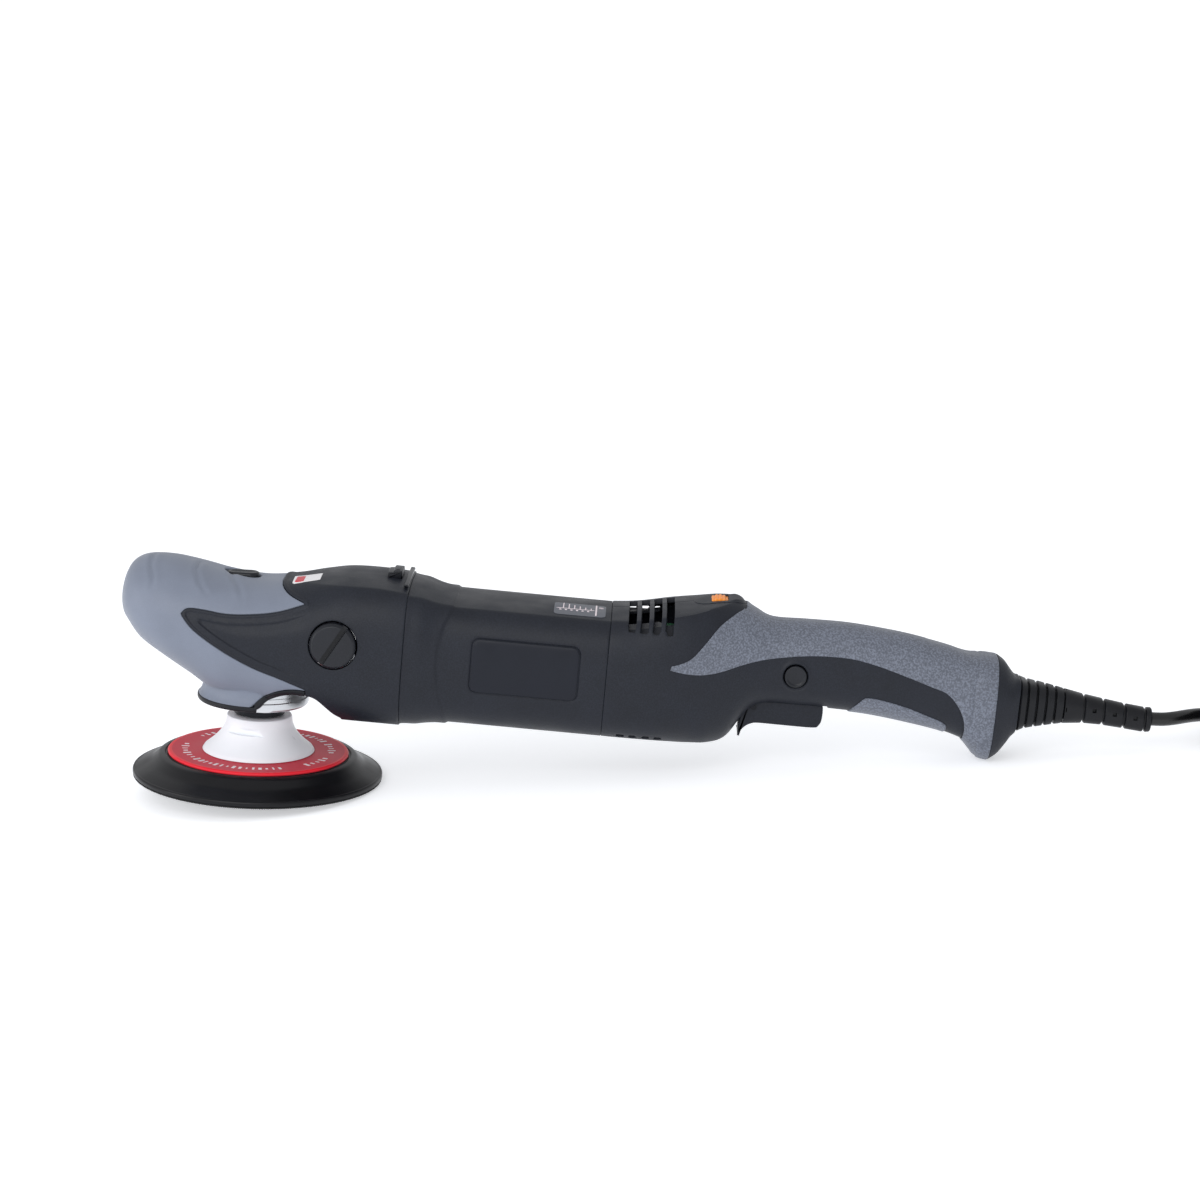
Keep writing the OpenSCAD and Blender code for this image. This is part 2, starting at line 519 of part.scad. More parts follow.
module speed_dial() color([0.98, 0.6, 0.15]) translate([226, -5.6, 33.5]) rotate([-90, 0, 0]) difference() {
    cylinder(r = 7.8, h = 11.2);
    translate([0, 0, -1]) cylinder(r = 1.6, h = 14);
    for (i = [0:23]) rotate([0, 0, 15 * i]) translate([7.3, -0.4, -1]) cube([1, 0.8, 14]);
}
module control_board() color([0.15, 0.4, 0.25]) {
    translate([196, -15, 15]) cube([38, 30, 1.6]);
    color([0.2, 0.2, 0.2]) translate([200, -11, 16.5]) cube([12, 14, 8]);
    translate([226, 0, 33.5]) rotate([-90, 0, 0]) cylinder(r = 1.55, h = 11);
    translate([224, 8, 16.5]) cube([4, 3, 18]);
}
module switch_body() color([0.12, 0.12, 0.13]) {
    translate([247, -7.5, -1]) cube([31, 15, 16]);
    translate([262, -2, -3.4]) cube([6, 4, 3]);
}
TRIGGER_EDGE = [[244.8, -8.6], [283, -7.8], [283.4, -13], [281.6, -18], [277.5, -19.6], [247.5, -19.8],
    [243.8, -21.4], [241.6, -24.6], [240.9, -27.4], [240.9, -17.5], [242.4, -11]];
HINGE = [247.5, 0, -11.5];
module trigger() color([0.2, 0.2, 0.22]) difference() {
    plate_xz(TRIGGER_EDGE, -8.2, 8.2);
    plate_xz([[252, -5], [252, -17], [279, -17], [281, -5]], -6, 6);
    translate([HINGE.x, -10, HINGE.z]) rotate([-90, 0, 0]) cylinder(r = 1.56, h = 20);
}
module trigger_pin() color("silver") translate([HINGE.x, -8.7, HINGE.z]) rotate([-90, 0, 0])
    cylinder(r = 1.5, h = 17.4);
module trigger_spring() translate([272, 0, -16.9]) spring_sleeve(3, 0.7, 15.8);
module lock_on_button() color([0.1, 0.1, 0.11]) translate([button_x, 0, 8.3]) rotate([90, 0, 0]) difference() {
    union() {
        translate([0, 0, 12.2]) cylinder(r = 5.4, h = 7.3);
        translate([0, 0, 10]) cylinder(r = 2.2, h = 3);
    }
    translate([0, 0, 19.1]) cylinder(r = 4.2, h = 1);
}
module lock_on_spring() translate([button_x, -8, 8.3]) rotate([90, 0, 0]) spring_sleeve(3.6, 0.8, 4.1);
CAP = [
    [366.1, 0, -28.2, 24.2, 20.2, 4, 2.6],
    [370, 0, -25.2, 21.6, 18, 4, 2.6],
    [373.6, 0.4, -20, 17.4, 15.6, 4, 2.7],
    [376, 0.8, -15.6, 15, 14, 5, 3],
    [378.2, 1, -12.9, 14.6, 13, 6, 3.4]];
module end_cap() color([0.13, 0.13, 0.14]) difference() {
    union() {
        form(CAP);
        form([[352.6, 2, -17.6, 21.6, 15.6, 3, 2.4], [366.2, 2, -17.6, 21.2, 15.6, 3, 2.4]], 1);
    }
    translate([0, 0, 1.5]) along_x(351) cylinder(r = 4.2, h = 40);
}
module cable_clamp() color([0.16, 0.16, 0.17]) {
    translate([338, -9, -5]) cube([8, 18, 3]);
    for (s = [-1, 1]) translate([342, s * 6.4, -2.1]) screw(4, 1.4, 2.4);
}

// ---- cord ----
RELIEF_FROM = [379, 0, 2.9];
RELIEF_BORE = cord_d / 2 + 0.05;
RELIEF_PROFILE = [[RELIEF_BORE, 0], [12.8, 0], [11.9, 4.3], [10.2, 13.6], [8.5, 23.6], [7, 35], [6.5, 44],
    [6.2, 54], [6.1, 63], [4.8, 66.6], [RELIEF_BORE, 66.6]];
module strain_relief() color([0.09, 0.09, 0.1]) translate(RELIEF_FROM) rotate([0, 90 + 3.2, 0]) difference() {
    rotate_extrude() polygon(RELIEF_PROFILE);
    for (i = [0:4]) translate([0, 0, 3 + 4.7 * i]) ring_z(0, 1.2, 14, 10.2 - 0.85 * i);
}
// the cord's free run, in the rest frame: from the strain relief down to the coil
CORD_ROUTE = [[255.6, 0, 16.6], [262, 0.9, 15.9], [268, 3.2, 15.6], [274, 7.2, 15.2], [280, 12.4, 14.3],
    [286, 18.6, 12.7], [291.5, 25, 10.4], [296.5, 31.4, 7.7], [301.5, 37.6, 5], [306.6, 43.4, 3.4]];
COIL_CENTRE = [342, 8, 0];
COIL_LAYERS = 4;
// the short lead from the top of the coil to the plug
LEAD_ROUTE = [[292, 8, 23.8], [293.5, 18, 26], [298, 28, 30], [305, 37, 33], [314, 43, 34], [324, 46.5, 34.2]];
function unit(v) = v / norm(v);
function ring_at(p, along, r, n) = let (side = unit(cross(along, [0, 0, 1])), up = cross(side, along))
    [for (i = [0:n - 1]) p + r * (cos(360 * i / n) * side + sin(360 * i / n) * up)];
module cord_tube(route) {
    line = refine(route, 2);
    last = len(line) - 1;
    skin([for (i = [0:last]) ring_at(line[i], unit(at(line, i + 1) - at(line, i - 1)), cord_d / 2, 12)]);
}
module cord() color([0.06, 0.06, 0.06]) {
    cord_tube(CORD_ROUTE);
    cord_tube(LEAD_ROUTE);
}
module cord_coil() color([0.06, 0.06, 0.06]) translate(COIL_CENTRE) rotate_extrude() translate([coil_r, 0])
    polygon([for (sx = [-1, 1]) for (sz = sx < 0 ? [0, 1] : [1, 0])
        [sx * coil_columns * cord_d / 2, sz * COIL_LAYERS * cord_d]]);
module cord_tie() color([0.2, 0.2, 0.2]) translate(COIL_CENTRE + [coil_r, 0, 0]) difference() {
    translate([-15.4, -3, 0.2]) cube([30.6, 6, 28.8]);
    translate([-14, -4, -1]) cube([27.7, 8, 28.3]);
}
PLUG_AT = [324.4, 46.6, 34.2];
module plug_body() color([0.07, 0.07, 0.07]) translate(PLUG_AT) rotate([0, 0, -8]) {
    rotate([0, 90, 0]) cylinder(r1 = 4.6, r2 = 6.8, h = 16);
    translate([16, -13.5, -6.8]) cube([20, 27, 13.6]);
}
module plug_pins() color("silver") translate(PLUG_AT) rotate([0, 0, -8]) for (s = [-9.5, 9.5])
    translate([36, s, 0]) rotate([0, 90, 0]) cylinder(r = 2.4, h = 19);

rest_pose() front_hood();
rest_pose() gear_cover();
rest_pose() skirt_trim();
rest_pose() cover_latch();
rest_pose() side_handle_plugs();
rest_pose() gear_housing();
rest_pose() neck_collar();
rest_pose() gear_case_screws();
rest_pose() spindle_lock_button();
rest_pose() lock_spring();
rest_pose() spindle();
rest_pose() spindle_bearing_lower();
rest_pose() spindle_bearing_upper();
rest_pose() crown_gear();
rest_pose() backing_hub();
rest_pose() hub_insert();
rest_pose() backing_disc();
rest_pose() backing_pad();
rest_pose() hook_face();
rest_pose() pinion();
rest_pose() armature_shaft();
rest_pose() armature_core();
rest_pose() armature_windings();
rest_pose() commutator();
rest_pose() fan();
rest_pose() armature_bearing_front();
rest_pose() armature_bearing_rear();
rest_pose() air_baffle();
rest_pose() stator_core();
rest_pose() field_coils();
rest_pose() motor_housing();
rest_pose() brush_holders();
rest_pose() brushes();
rest_pose() brush_springs();
rest_pose() name_plate();
rest_pose() speed_label();
rest_pose() hood_sticker();
rest_pose() rear_housing_left();
rest_pose() rear_housing_right();
rest_pose() handle_screws();
rest_pose() rear_grip();
rest_pose() grip_inlay();
rest_pose() dial_bezel();
rest_pose() speed_dial();
rest_pose() control_board();
rest_pose() switch_body();
rest_pose() trigger();
rest_pose() trigger_pin();
rest_pose() trigger_spring();
rest_pose() lock_on_button();
rest_pose() lock_on_spring();
rest_pose() end_cap();
rest_pose() cable_clamp();
rest_pose() strain_relief();
cord();
cord_coil();
cord_tie();
plug_body();
plug_pins();
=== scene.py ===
"""Looks of the rotary polisher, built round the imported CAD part.

Shapes are drawn in millimetres in one of two frames taken from the record's joints: BODY (X along the
motor axis, Z up, origin where the spindle meets the motor axis) and SPINDLE (Z up the spindle, zero at
the hook face).  The cord lies in the row frame.  A casing piece starts as a smooth Loft over stations,
is trimmed to its outline, rolled over at its edges and given a wall.
"""
import json
import math
import random

import bmesh
import bpy
import numpy as np
from mathutils import Matrix, Vector

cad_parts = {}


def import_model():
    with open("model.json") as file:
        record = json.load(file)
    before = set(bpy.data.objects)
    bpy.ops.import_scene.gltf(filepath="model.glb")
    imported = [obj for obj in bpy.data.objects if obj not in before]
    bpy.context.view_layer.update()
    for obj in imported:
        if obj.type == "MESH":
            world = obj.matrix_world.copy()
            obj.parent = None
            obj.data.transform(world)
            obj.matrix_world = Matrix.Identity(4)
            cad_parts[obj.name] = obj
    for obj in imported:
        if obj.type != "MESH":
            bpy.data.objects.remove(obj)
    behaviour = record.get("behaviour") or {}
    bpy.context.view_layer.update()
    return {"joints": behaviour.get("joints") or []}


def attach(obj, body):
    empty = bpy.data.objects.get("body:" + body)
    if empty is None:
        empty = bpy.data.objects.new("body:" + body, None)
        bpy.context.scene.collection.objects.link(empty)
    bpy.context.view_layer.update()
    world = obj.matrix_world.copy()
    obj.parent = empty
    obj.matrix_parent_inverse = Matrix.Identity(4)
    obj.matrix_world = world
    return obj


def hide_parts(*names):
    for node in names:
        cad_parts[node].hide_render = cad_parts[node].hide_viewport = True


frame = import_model()
MM = 0.001
random.seed(7)
rng = np.random.default_rng(7)
SIDE = Vector((0, 1, 0))


# ---- frames ----
def joint(name):
    return next(j for j in frame["joints"] if j["name"] == name)


def axes_at(origin, x_axis, z_axis, scale=MM):
    """Matrix from millimetres along these axes to the row frame."""
    y_axis = z_axis.cross(x_axis)
    m = Matrix((x_axis, y_axis, z_axis)).transposed().to_4x4()
    return Matrix.Translation(origin) @ m @ Matrix.Scale(scale, 4)


SPINDLE_H = 72.8
motor_axis = Vector(joint("armature_spin")["axis"]).normalized()
spindle_axis = Vector(joint("spindle_spin")["axis"]).normalized()
drive_point = Vector(joint("spindle_spin")["pos_m"])
BODY = axes_at(drive_point, motor_axis, motor_axis.cross(SIDE))
SPINDLE = axes_at(drive_point - spindle_axis * SPINDLE_H * MM, SIDE.cross(spindle_axis), spindle_axis)
ROW = Matrix.Scale(MM, 4)
TO_SPINDLE = np.array(SPINDLE.inverted() @ BODY)


# ---- camera ----
def make_camera():
    camera = bpy.data.objects.new("camera", bpy.data.cameras.new("camera"))
    bpy.context.scene.collection.objects.link(camera)
    down, turn, roll = math.radians(12.301), math.radians(-1.730), math.radians(-2.771)
    ahead = Vector((math.sin(turn) * math.cos(down), math.cos(turn) * math.cos(down), -math.sin(down)))
    level = ahead.cross(Vector((0, 0, 1))).normalized()
    upright = level.cross(ahead)
    right = level * math.cos(roll) + upright * math.sin(roll)
    up = right.cross(ahead)
    turned = Matrix((right, up, -ahead)).transposed().to_4x4()
    camera.matrix_world = Matrix.Translation(Vector((27.86, -1455.25, 406.52)) * MM) @ turned
    camera.data.lens = 90
    camera.data.sensor_width = 36
    camera.data.clip_start = 0.05
    bpy.context.scene.camera = camera


make_camera()


# ---- materials ----
def links(tree, *pairs):
    for a, b in pairs:
        tree.links.new(a, b)


def set_inputs(node, values):
    for name, value in values.items():
        node.inputs[name].default_value = value


def spread(tree, low, high, from_low=0.3, from_high=0.7):
    """A node that maps the middle part of a noise to the range from low to high."""
    node = tree.nodes.new("ShaderNodeMapRange")
    set_inputs(node, {"From Min": from_low, "From Max": from_high, "To Min": low, "To Max": high})
    return node


def multiply(tree):
    """A node that multiplies two colours."""
    node = tree.nodes.new("ShaderNodeMix")
    node.data_type = "RGBA"
    node.blend_type = "MULTIPLY"
    set_inputs(node, {"Factor": 1})
    return node


GRAINS = {"cells": ("ShaderNodeTexVoronoi", {}, "Distance"),
          "weave": ("ShaderNodeTexWave", {"Distortion": 2}, "Fac"),
          "noise": ("ShaderNodeTexNoise", {"Detail": 3}, "Fac")}
GRAIN_DEPTH = 0.0002


def material(name, colour, rough, metallic=0.0, coat=0.0, sheen=0.0, vary=0.12, vary_scale=60, grain=0.0,
             grain_scale=1800, grain_kind="noise", fleck=0.0, rough_vary=0.08, specular=0.5,
             stretch=(1, 1, 1)):
    """A moulded or metal finish: slow colour drift, roughness drift, and a fine grain that also tints."""
    m = bpy.data.materials.new(name)
    m.use_nodes = True
    tree = m.node_tree
    shader = tree.nodes["Principled BSDF"]
    set_inputs(shader, {"Metallic": metallic, "Coat Weight": coat, "Coat Roughness": 0.12,
                        "Sheen Weight": sheen, "Specular IOR Level": specular})
    place = tree.nodes.new("ShaderNodeTexCoord")
    mapping = tree.nodes.new("ShaderNodeMapping")
    slow = tree.nodes.new("ShaderNodeTexNoise")
    set_inputs(mapping, {"Scale": stretch})
    set_inputs(slow, {"Scale": vary_scale, "Detail": 5})
    drift = spread(tree, 1 - vary, 1 + vary)
    rough_map = spread(tree, max(0.02, rough - rough_vary), min(1, rough + rough_vary))
    shade = multiply(tree)
    set_inputs(shade, {"A": (*colour, 1)})
    links(tree, (place.outputs["Object"], mapping.inputs["Vector"]),
          (mapping.outputs["Vector"], slow.inputs["Vector"]),
          (slow.outputs["Fac"], drift.inputs["Value"]), (drift.outputs["Result"], shade.inputs["B"]),
          (slow.outputs["Fac"], rough_map.inputs["Value"]),
          (rough_map.outputs["Result"], shader.inputs["Roughness"]))
    tint = shade.outputs["Result"]
    if grain:
        node_type, settings, output = GRAINS[grain_kind]
        fine = tree.nodes.new(node_type)
        set_inputs(fine, {**settings, "Scale": grain_scale})
        height = fine.outputs[output]
        bump = tree.nodes.new("ShaderNodeBump")
        set_inputs(bump, {"Strength": grain, "Distance": GRAIN_DEPTH})
        links(tree, (mapping.outputs["Vector"], fine.inputs["Vector"]), (height, bump.inputs["Height"]),
              (bump.outputs["Normal"], shader.inputs["Normal"]))
        if fleck:
            spots = spread(tree, 1 - fleck, 1 + fleck, from_low=0.42, from_high=0.62)
            speck = multiply(tree)
            links(tree, (height, spots.inputs["Value"]), (tint, speck.inputs["A"]),
                  (spots.outputs["Result"], speck.inputs["B"]))
            tint = speck.outputs["Result"]
    links(tree, (tint, shader.inputs["Base Color"]))
    return m


def srgb(r, g, b):
    """Linear colour of an 8-bit display colour."""
    return tuple((c / 255 / 12.92) if c <= 10 else ((c / 255 + 0.055) / 1.055) ** 2.4 for c in (r, g, b))


SOFT_GREY = material("soft_grey", srgb(118, 125, 140), 0.48, vary=0.05, grain=0.12, grain_scale=2600,
                     fleck=0.03, sheen=0.1, specular=0.35)
GRIP_GREY = material("grip_grey", srgb(102, 107, 119), 0.5, vary=0.05, grain=0.9, grain_scale=1100,
                     fleck=0.28, sheen=0.1, specular=0.35)
CASING = material("black_casing", srgb(30, 33, 41), 0.46, vary=0.12, grain=0.4, grain_scale=1500, fleck=0.14,
                  specular=0.24)
GLOSS_BLACK = material("black_gloss", srgb(26, 28, 34), 0.34, vary=0.15, grain=0.08, grain_scale=900,
                       specular=0.3)
CORD_GUARD = material("relief_rubber", srgb(20, 21, 25), 0.4, vary=0.2, grain=0.12, grain_scale=900,
                      specular=0.25)
# Dark steel; on the spindle its darkness is painted shade for the gap between the collar and the hub.
DARK_STEEL_AND_GAP_SHADE = material("dark_steel_and_gap_shade", srgb(40, 41, 44), 0.4, metallic=1, vary=0.15, grain=0.1)
PAD_RUBBER = material("pad_rubber", srgb(15, 15, 18), 0.33, vary=0.25, vary_scale=35, grain=0.12,
                      grain_scale=700, rough_vary=0.1, specular=0.24)
TRIM_RUBBER = material("trim_rubber", srgb(22, 24, 29), 0.45, vary=0.15, grain=0.15, grain_scale=1500,
                       specular=0.25)
WHITE = material("white_nylon", srgb(240, 243, 248), 0.34, vary=0.03, vary_scale=25, grain=0.06,
                 grain_scale=500)
RED = material("red_disc", srgb(198, 34, 58), 0.42, vary=0.08, vary_scale=30, grain=0.08, grain_scale=1300,
               specular=0.18)
RED_RIM = material("red_rim", srgb(226, 36, 52), 0.4, vary=0.06, grain=0.08, grain_scale=900, specular=0.25)
SPEED_BASE = material("speed_base", srgb(86, 89, 98), 0.42, vary=0.05, grain=0.2, grain_scale=1500,
                      fleck=0.06)
PRINT = material("print_white", srgb(236, 222, 226), 0.4, vary=0.05, grain=0.05)
HOOKS = material("hook_tape", srgb(20, 20, 22), 0.8, vary=0.3, vary_scale=400, grain=0.8, grain_scale=900,
                 grain_kind="cells", fleck=0.4)
CAST = material("cast_aluminium", srgb(205, 207, 210), 0.3, metallic=1, vary=0.06, grain=0.15,
                grain_scale=900)
STEEL = material("steel", srgb(170, 172, 176), 0.28, metallic=1, vary=0.1, grain=0.08, grain_scale=1400,
                 stretch=(1, 1, 6))
GEAR_STEEL = material("gear_steel", srgb(120, 122, 126), 0.34, metallic=1, vary=0.2, grain=0.12)
COPPER = material("copper_wire", srgb(190, 104, 58), 0.34, metallic=1, vary=0.15, grain=0.7, grain_scale=700,
                  grain_kind="weave")
SHEETS = material("lamination", srgb(110, 112, 116), 0.42, metallic=1, vary=0.1, grain=0.5, grain_scale=500,
                  grain_kind="weave")
BRASS = material("brass", srgb(196, 160, 92), 0.32, metallic=1, vary=0.08, grain=0.1)
CARBON = material("carbon", srgb(38, 38, 40), 0.6, vary=0.2, grain=0.3)
ORANGE = material("orange_dial", srgb(250, 150, 38), 0.36, vary=0.05, grain=0.1, grain_scale=900)
BOARD = material("circuit_green", srgb(34, 96, 62), 0.4, vary=0.2, vary_scale=300, grain=0.2)
PLATE = material("label_dark", srgb(24, 27, 36), 0.4, vary=0.08, grain=0.1, grain_scale=1400, specular=0.22)
SPEED_PRINT = material("label_light", srgb(150, 153, 162), 0.42, vary=0.04, grain=0.05)
STICKER = material("sticker", srgb(232, 230, 232), 0.35, vary=0.04, grain=0.04)
STICKER_RED = material("sticker_red", srgb(200, 40, 56), 0.35, vary=0.05, grain=0.04)
CORD_SKIN = material("cord_black", srgb(14, 14, 15), 0.32, vary=0.2, vary_scale=90, grain=0.15,
                     grain_scale=500)


# ---- meshes ----
def piece(name, verts, faces, finish, body="casing", at=BODY, sharp=38, replaces=(), slot=None, flat=False):
    """One object from millimetre points, with its normals made consistent."""
    v = np.asarray(verts, float).reshape(-1, 3)
    m = np.array(at)
    v = v @ m[:3, :3].T + m[:3, 3]
    mesh = bpy.data.meshes.new(name)
    mesh.from_pydata(v.tolist(), [], [list(map(int, f)) for f in faces])
    bm = bmesh.new()
    bm.from_mesh(mesh)
    bmesh.ops.remove_doubles(bm, verts=bm.verts, dist=2e-6)
    bmesh.ops.dissolve_degenerate(bm, edges=bm.edges, dist=1e-6)
    bmesh.ops.recalc_face_normals(bm, faces=bm.faces)
    bm.to_mesh(mesh)
    bm.free()
    if not flat:
        mesh.shade_smooth()
        mesh.set_sharp_from_angle(angle=math.radians(sharp))
    obj = bpy.data.objects.new(name, mesh)
    bpy.context.scene.collection.objects.link(obj)
    mesh.materials.append(finish)
    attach(obj, body)
    if replaces:
        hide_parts(*replaces)
    return obj


def smooth_curve(points, t_steps, closed=False):
    """Points on the smooth curve through the given ones (Catmull-Rom over every column)."""
    p = np.asarray(points, float)
    n = len(p)
    out = []
    spans = n if closed else n - 1
    for i in range(spans):
        a, b, c, d = (p[(i + k) % n] if closed else p[min(max(i + k, 0), n - 1)] for k in (-1, 0, 1, 2))
        t = (np.arange(t_steps) / t_steps)[:, None]
        out.append(0.5 * (2 * b + (c - a) * t + (2 * a - 5 * b + 4 * c - d) * t ** 2
                          + (3 * b - a - 3 * c + d) * t ** 3))
    if not closed:
        out.append(p[-1:])
    return np.concatenate(out)


def outline(points, corners=(), steps=6):
    """A closed outline: smooth through its points, with the numbered ones kept as corners."""
    if not corners:
        return smooth_curve(points, steps, closed=True)
    runs = []
    marks = sorted(corners)
    for i, start in enumerate(marks):
        stop = marks[(i + 1) % len(marks)]
        if stop <= start:
            stop += len(points)
        run = [points[k % len(points)] for k in range(start, stop + 1)]
        runs.append(smooth_curve(run, steps)[:-1])
    return np.concatenate(runs)


def signed_distance(poly, columns=(0, 2)):
    """Distance to a closed outline in the plane of two columns; negative inside it."""
    a = np.asarray(poly, float)
    b = np.roll(a, -1, axis=0)
    edge = b - a
    size = np.maximum((edge ** 2).sum(1), 1e-12)

    def measure(p):
        q = p[:, columns]
        best = np.full(len(q), 1e9)
        odd = np.zeros(len(q), bool)
        for k in range(len(a)):
            w = q - a[k]
            t = np.clip((w @ edge[k]) / size[k], 0, 1)
            best = np.minimum(best, ((w - t[:, None] * edge[k]) ** 2).sum(1))
            if edge[k, 1] != 0:
                crosses = (a[k, 1] > q[:, 1]) != (b[k, 1] > q[:, 1])
                odd ^= crosses & (q[:, 0] < a[k, 0] + edge[k, 0] * (q[:, 1] - a[k, 1]) / edge[k, 1])
        return np.where(odd, -1, 1) * np.sqrt(best)
    return measure


def blend01(x, low, high):
    t = np.clip((x - low) / (high - low), 0, 1)
    return t * t * (3 - 2 * t)


# ---- lofts: smooth casing surfaces ----
CREASE = 0.7            # share of a half section's parameter below the edge of its flat top
TABLE_COLUMNS = 150


def half_section(s):
    """Points from the bottom up to the middle of the top of one section, on the -Y side."""
    x, mid, low, top, wide, flat, power = s
    crown = 0.0035 * flat * flat
    side = math.acos((flat / wide) ** (power / 2))
    rise = (top - crown - mid) / (1 - (flat / wide) ** power) ** (1 / power)
    a = np.linspace(-math.pi / 2, side, 200)
    c, d = np.abs(np.cos(a)) ** (2 / power), np.abs(np.sin(a)) ** (2 / power)
    lower = np.stack([wide * c, mid + np.where(a < 0, (low - mid) * d, rise * d)], 1)
    t = np.linspace(1, 0, 60)[1:]
    upper = np.stack([flat * t, top - crown * t * t], 1)
    return lower, upper


def section_row(s, soft):
    lower, upper = half_section(s)
    line = np.concatenate([lower, upper])
    run = np.concatenate([[0], np.cumsum(np.hypot(*np.diff(line, axis=0).T))])
    edge = run[len(lower) - 1]
    even = np.linspace(0, run[-1], 320)
    y, z = np.interp(even, run, line[:, 0]), np.interp(even, run, line[:, 1])
    reach = 30
    spread = max(0.05, soft / (even[1] - even[0]))
    kernel = np.exp(-0.5 * (np.arange(-reach, reach + 1) / spread) ** 2)
    kernel /= kernel.sum()
    y = np.convolve(np.concatenate([-y[reach:0:-1], y, -y[-2:-reach - 2:-1]]), kernel, "valid")
    z = np.convolve(np.concatenate([z[reach:0:-1], z, z[-2:-reach - 2:-1]]), kernel, "valid")
    v = np.linspace(0, 1, TABLE_COLUMNS + 1)
    along = np.where(v < CREASE, v / CREASE * edge, edge + (v - CREASE) / (1 - CREASE) * (run[-1] - edge))
    return np.stack([np.full(len(v), s[0]), -np.interp(along, even, y), np.interp(along, even, z)], 1)


class Loft:
    """A smooth skin over stations [x, middle z, lowest z, top z, half width, half width of flat, power].

    A place on it is (u, w): u in millimetres along it, w from 0 at the bottom over the -Y side to 1 on
    top, and down the +Y side to 2."""

    def __init__(self, stations, soft=0.5, step=0.5):
        dense = smooth_curve(stations, 24)
        run = np.concatenate([[0], np.cumsum(np.sqrt((np.diff(dense[:, [0, 3, 4]], axis=0) ** 2).sum(1)))])
        self.length = run[-1]
        count = int(self.length / step) + 1
        spots = np.linspace(0, self.length, count)
        rows = [section_row([np.interp(u, run, dense[:, k]) for k in range(7)], soft) for u in spots]
        self.points = np.array(rows)
        self.step = self.length / (count - 1)
        along = np.gradient(self.points, axis=0)
        ghost_low = self.points[:, 1:2] * [1, -1, 1]
        ghost_high = self.points[:, -2:-1] * [1, -1, 1]
        padded = np.concatenate([ghost_low, self.points, ghost_high], axis=1)
        across = padded[:, 2:] - padded[:, :-2]
        normal = np.cross(across, along)
        normal /= np.maximum(np.linalg.norm(normal, axis=2, keepdims=True), 1e-9)
        middle = self.points.mean(axis=1, keepdims=True) * [1, 0, 1]
        if ((self.points - middle) * normal).sum() < 0:
            normal = -normal
        self.normals = normal

    def u_at(self, x):
        """How far along the loft its section at x is."""
        return float(np.interp(x, self.points[:, 0, 0], np.arange(len(self.points)) * self.step))

    def look_up(self, table, u, w):
        mirrored = w > 1
        v = np.where(mirrored, 2 - w, w) * TABLE_COLUMNS
        i = np.clip(u / self.step, 0, len(table) - 1 - 1e-9)
        i0, j0 = np.floor(i).astype(int), np.clip(np.floor(v).astype(int), 0, TABLE_COLUMNS - 1)
        i1 = np.minimum(i0 + 1, len(table) - 1)
        fi, fj = (i - i0)[:, None], (v - j0)[:, None]
        p = ((table[i0, j0] * (1 - fj) + table[i0, j0 + 1] * fj) * (1 - fi)
             + (table[i1, j0] * (1 - fj) + table[i1, j0 + 1] * fj) * fi)
        return p * np.where(mirrored[:, None], [1, -1, 1], [1, 1, 1])

    def at(self, par):
        n = self.look_up(self.normals, par[:, 0], par[:, 1])
        return (self.look_up(self.points, par[:, 0], par[:, 1]),
                n / np.maximum(np.linalg.norm(n, axis=1, keepdims=True), 1e-9))


class Spun:
    """A skin of revolution about the spindle over a smooth profile [[radius, height], ...].

    A place on it is (u, w): u in millimetres along the profile, w from 0 to 2 for a whole turn."""

    def __init__(self, profile):
        self.line = smooth_curve(profile, 12)
        self.run = np.concatenate([[0], np.cumsum(np.hypot(*np.diff(self.line, axis=0).T))])
        self.length = self.run[-1]
        self.home = np.linalg.inv(TO_SPINDLE)

    def at(self, par):
        r, h = (np.interp(par[:, 0], self.run, self.line[:, k]) for k in (0, 1))
        slope = np.gradient(self.line, axis=0)
        dr, dh = (np.interp(par[:, 0], self.run, slope[:, k]) for k in (0, 1))
        a = par[:, 1] * math.pi
        flip = np.where(dh > 0, 1, -1)
        p = np.stack([r * np.cos(a), r * np.sin(a), h], 1)
        n = np.stack([dh * np.cos(a), dh * np.sin(a), -dr], 1) * flip[:, None]
        n /= np.maximum(np.linalg.norm(n, axis=1, keepdims=True), 1e-9)
        return p @ self.home[:3, :3].T + self.home[:3, 3], n @ self.home[:3, :3].T


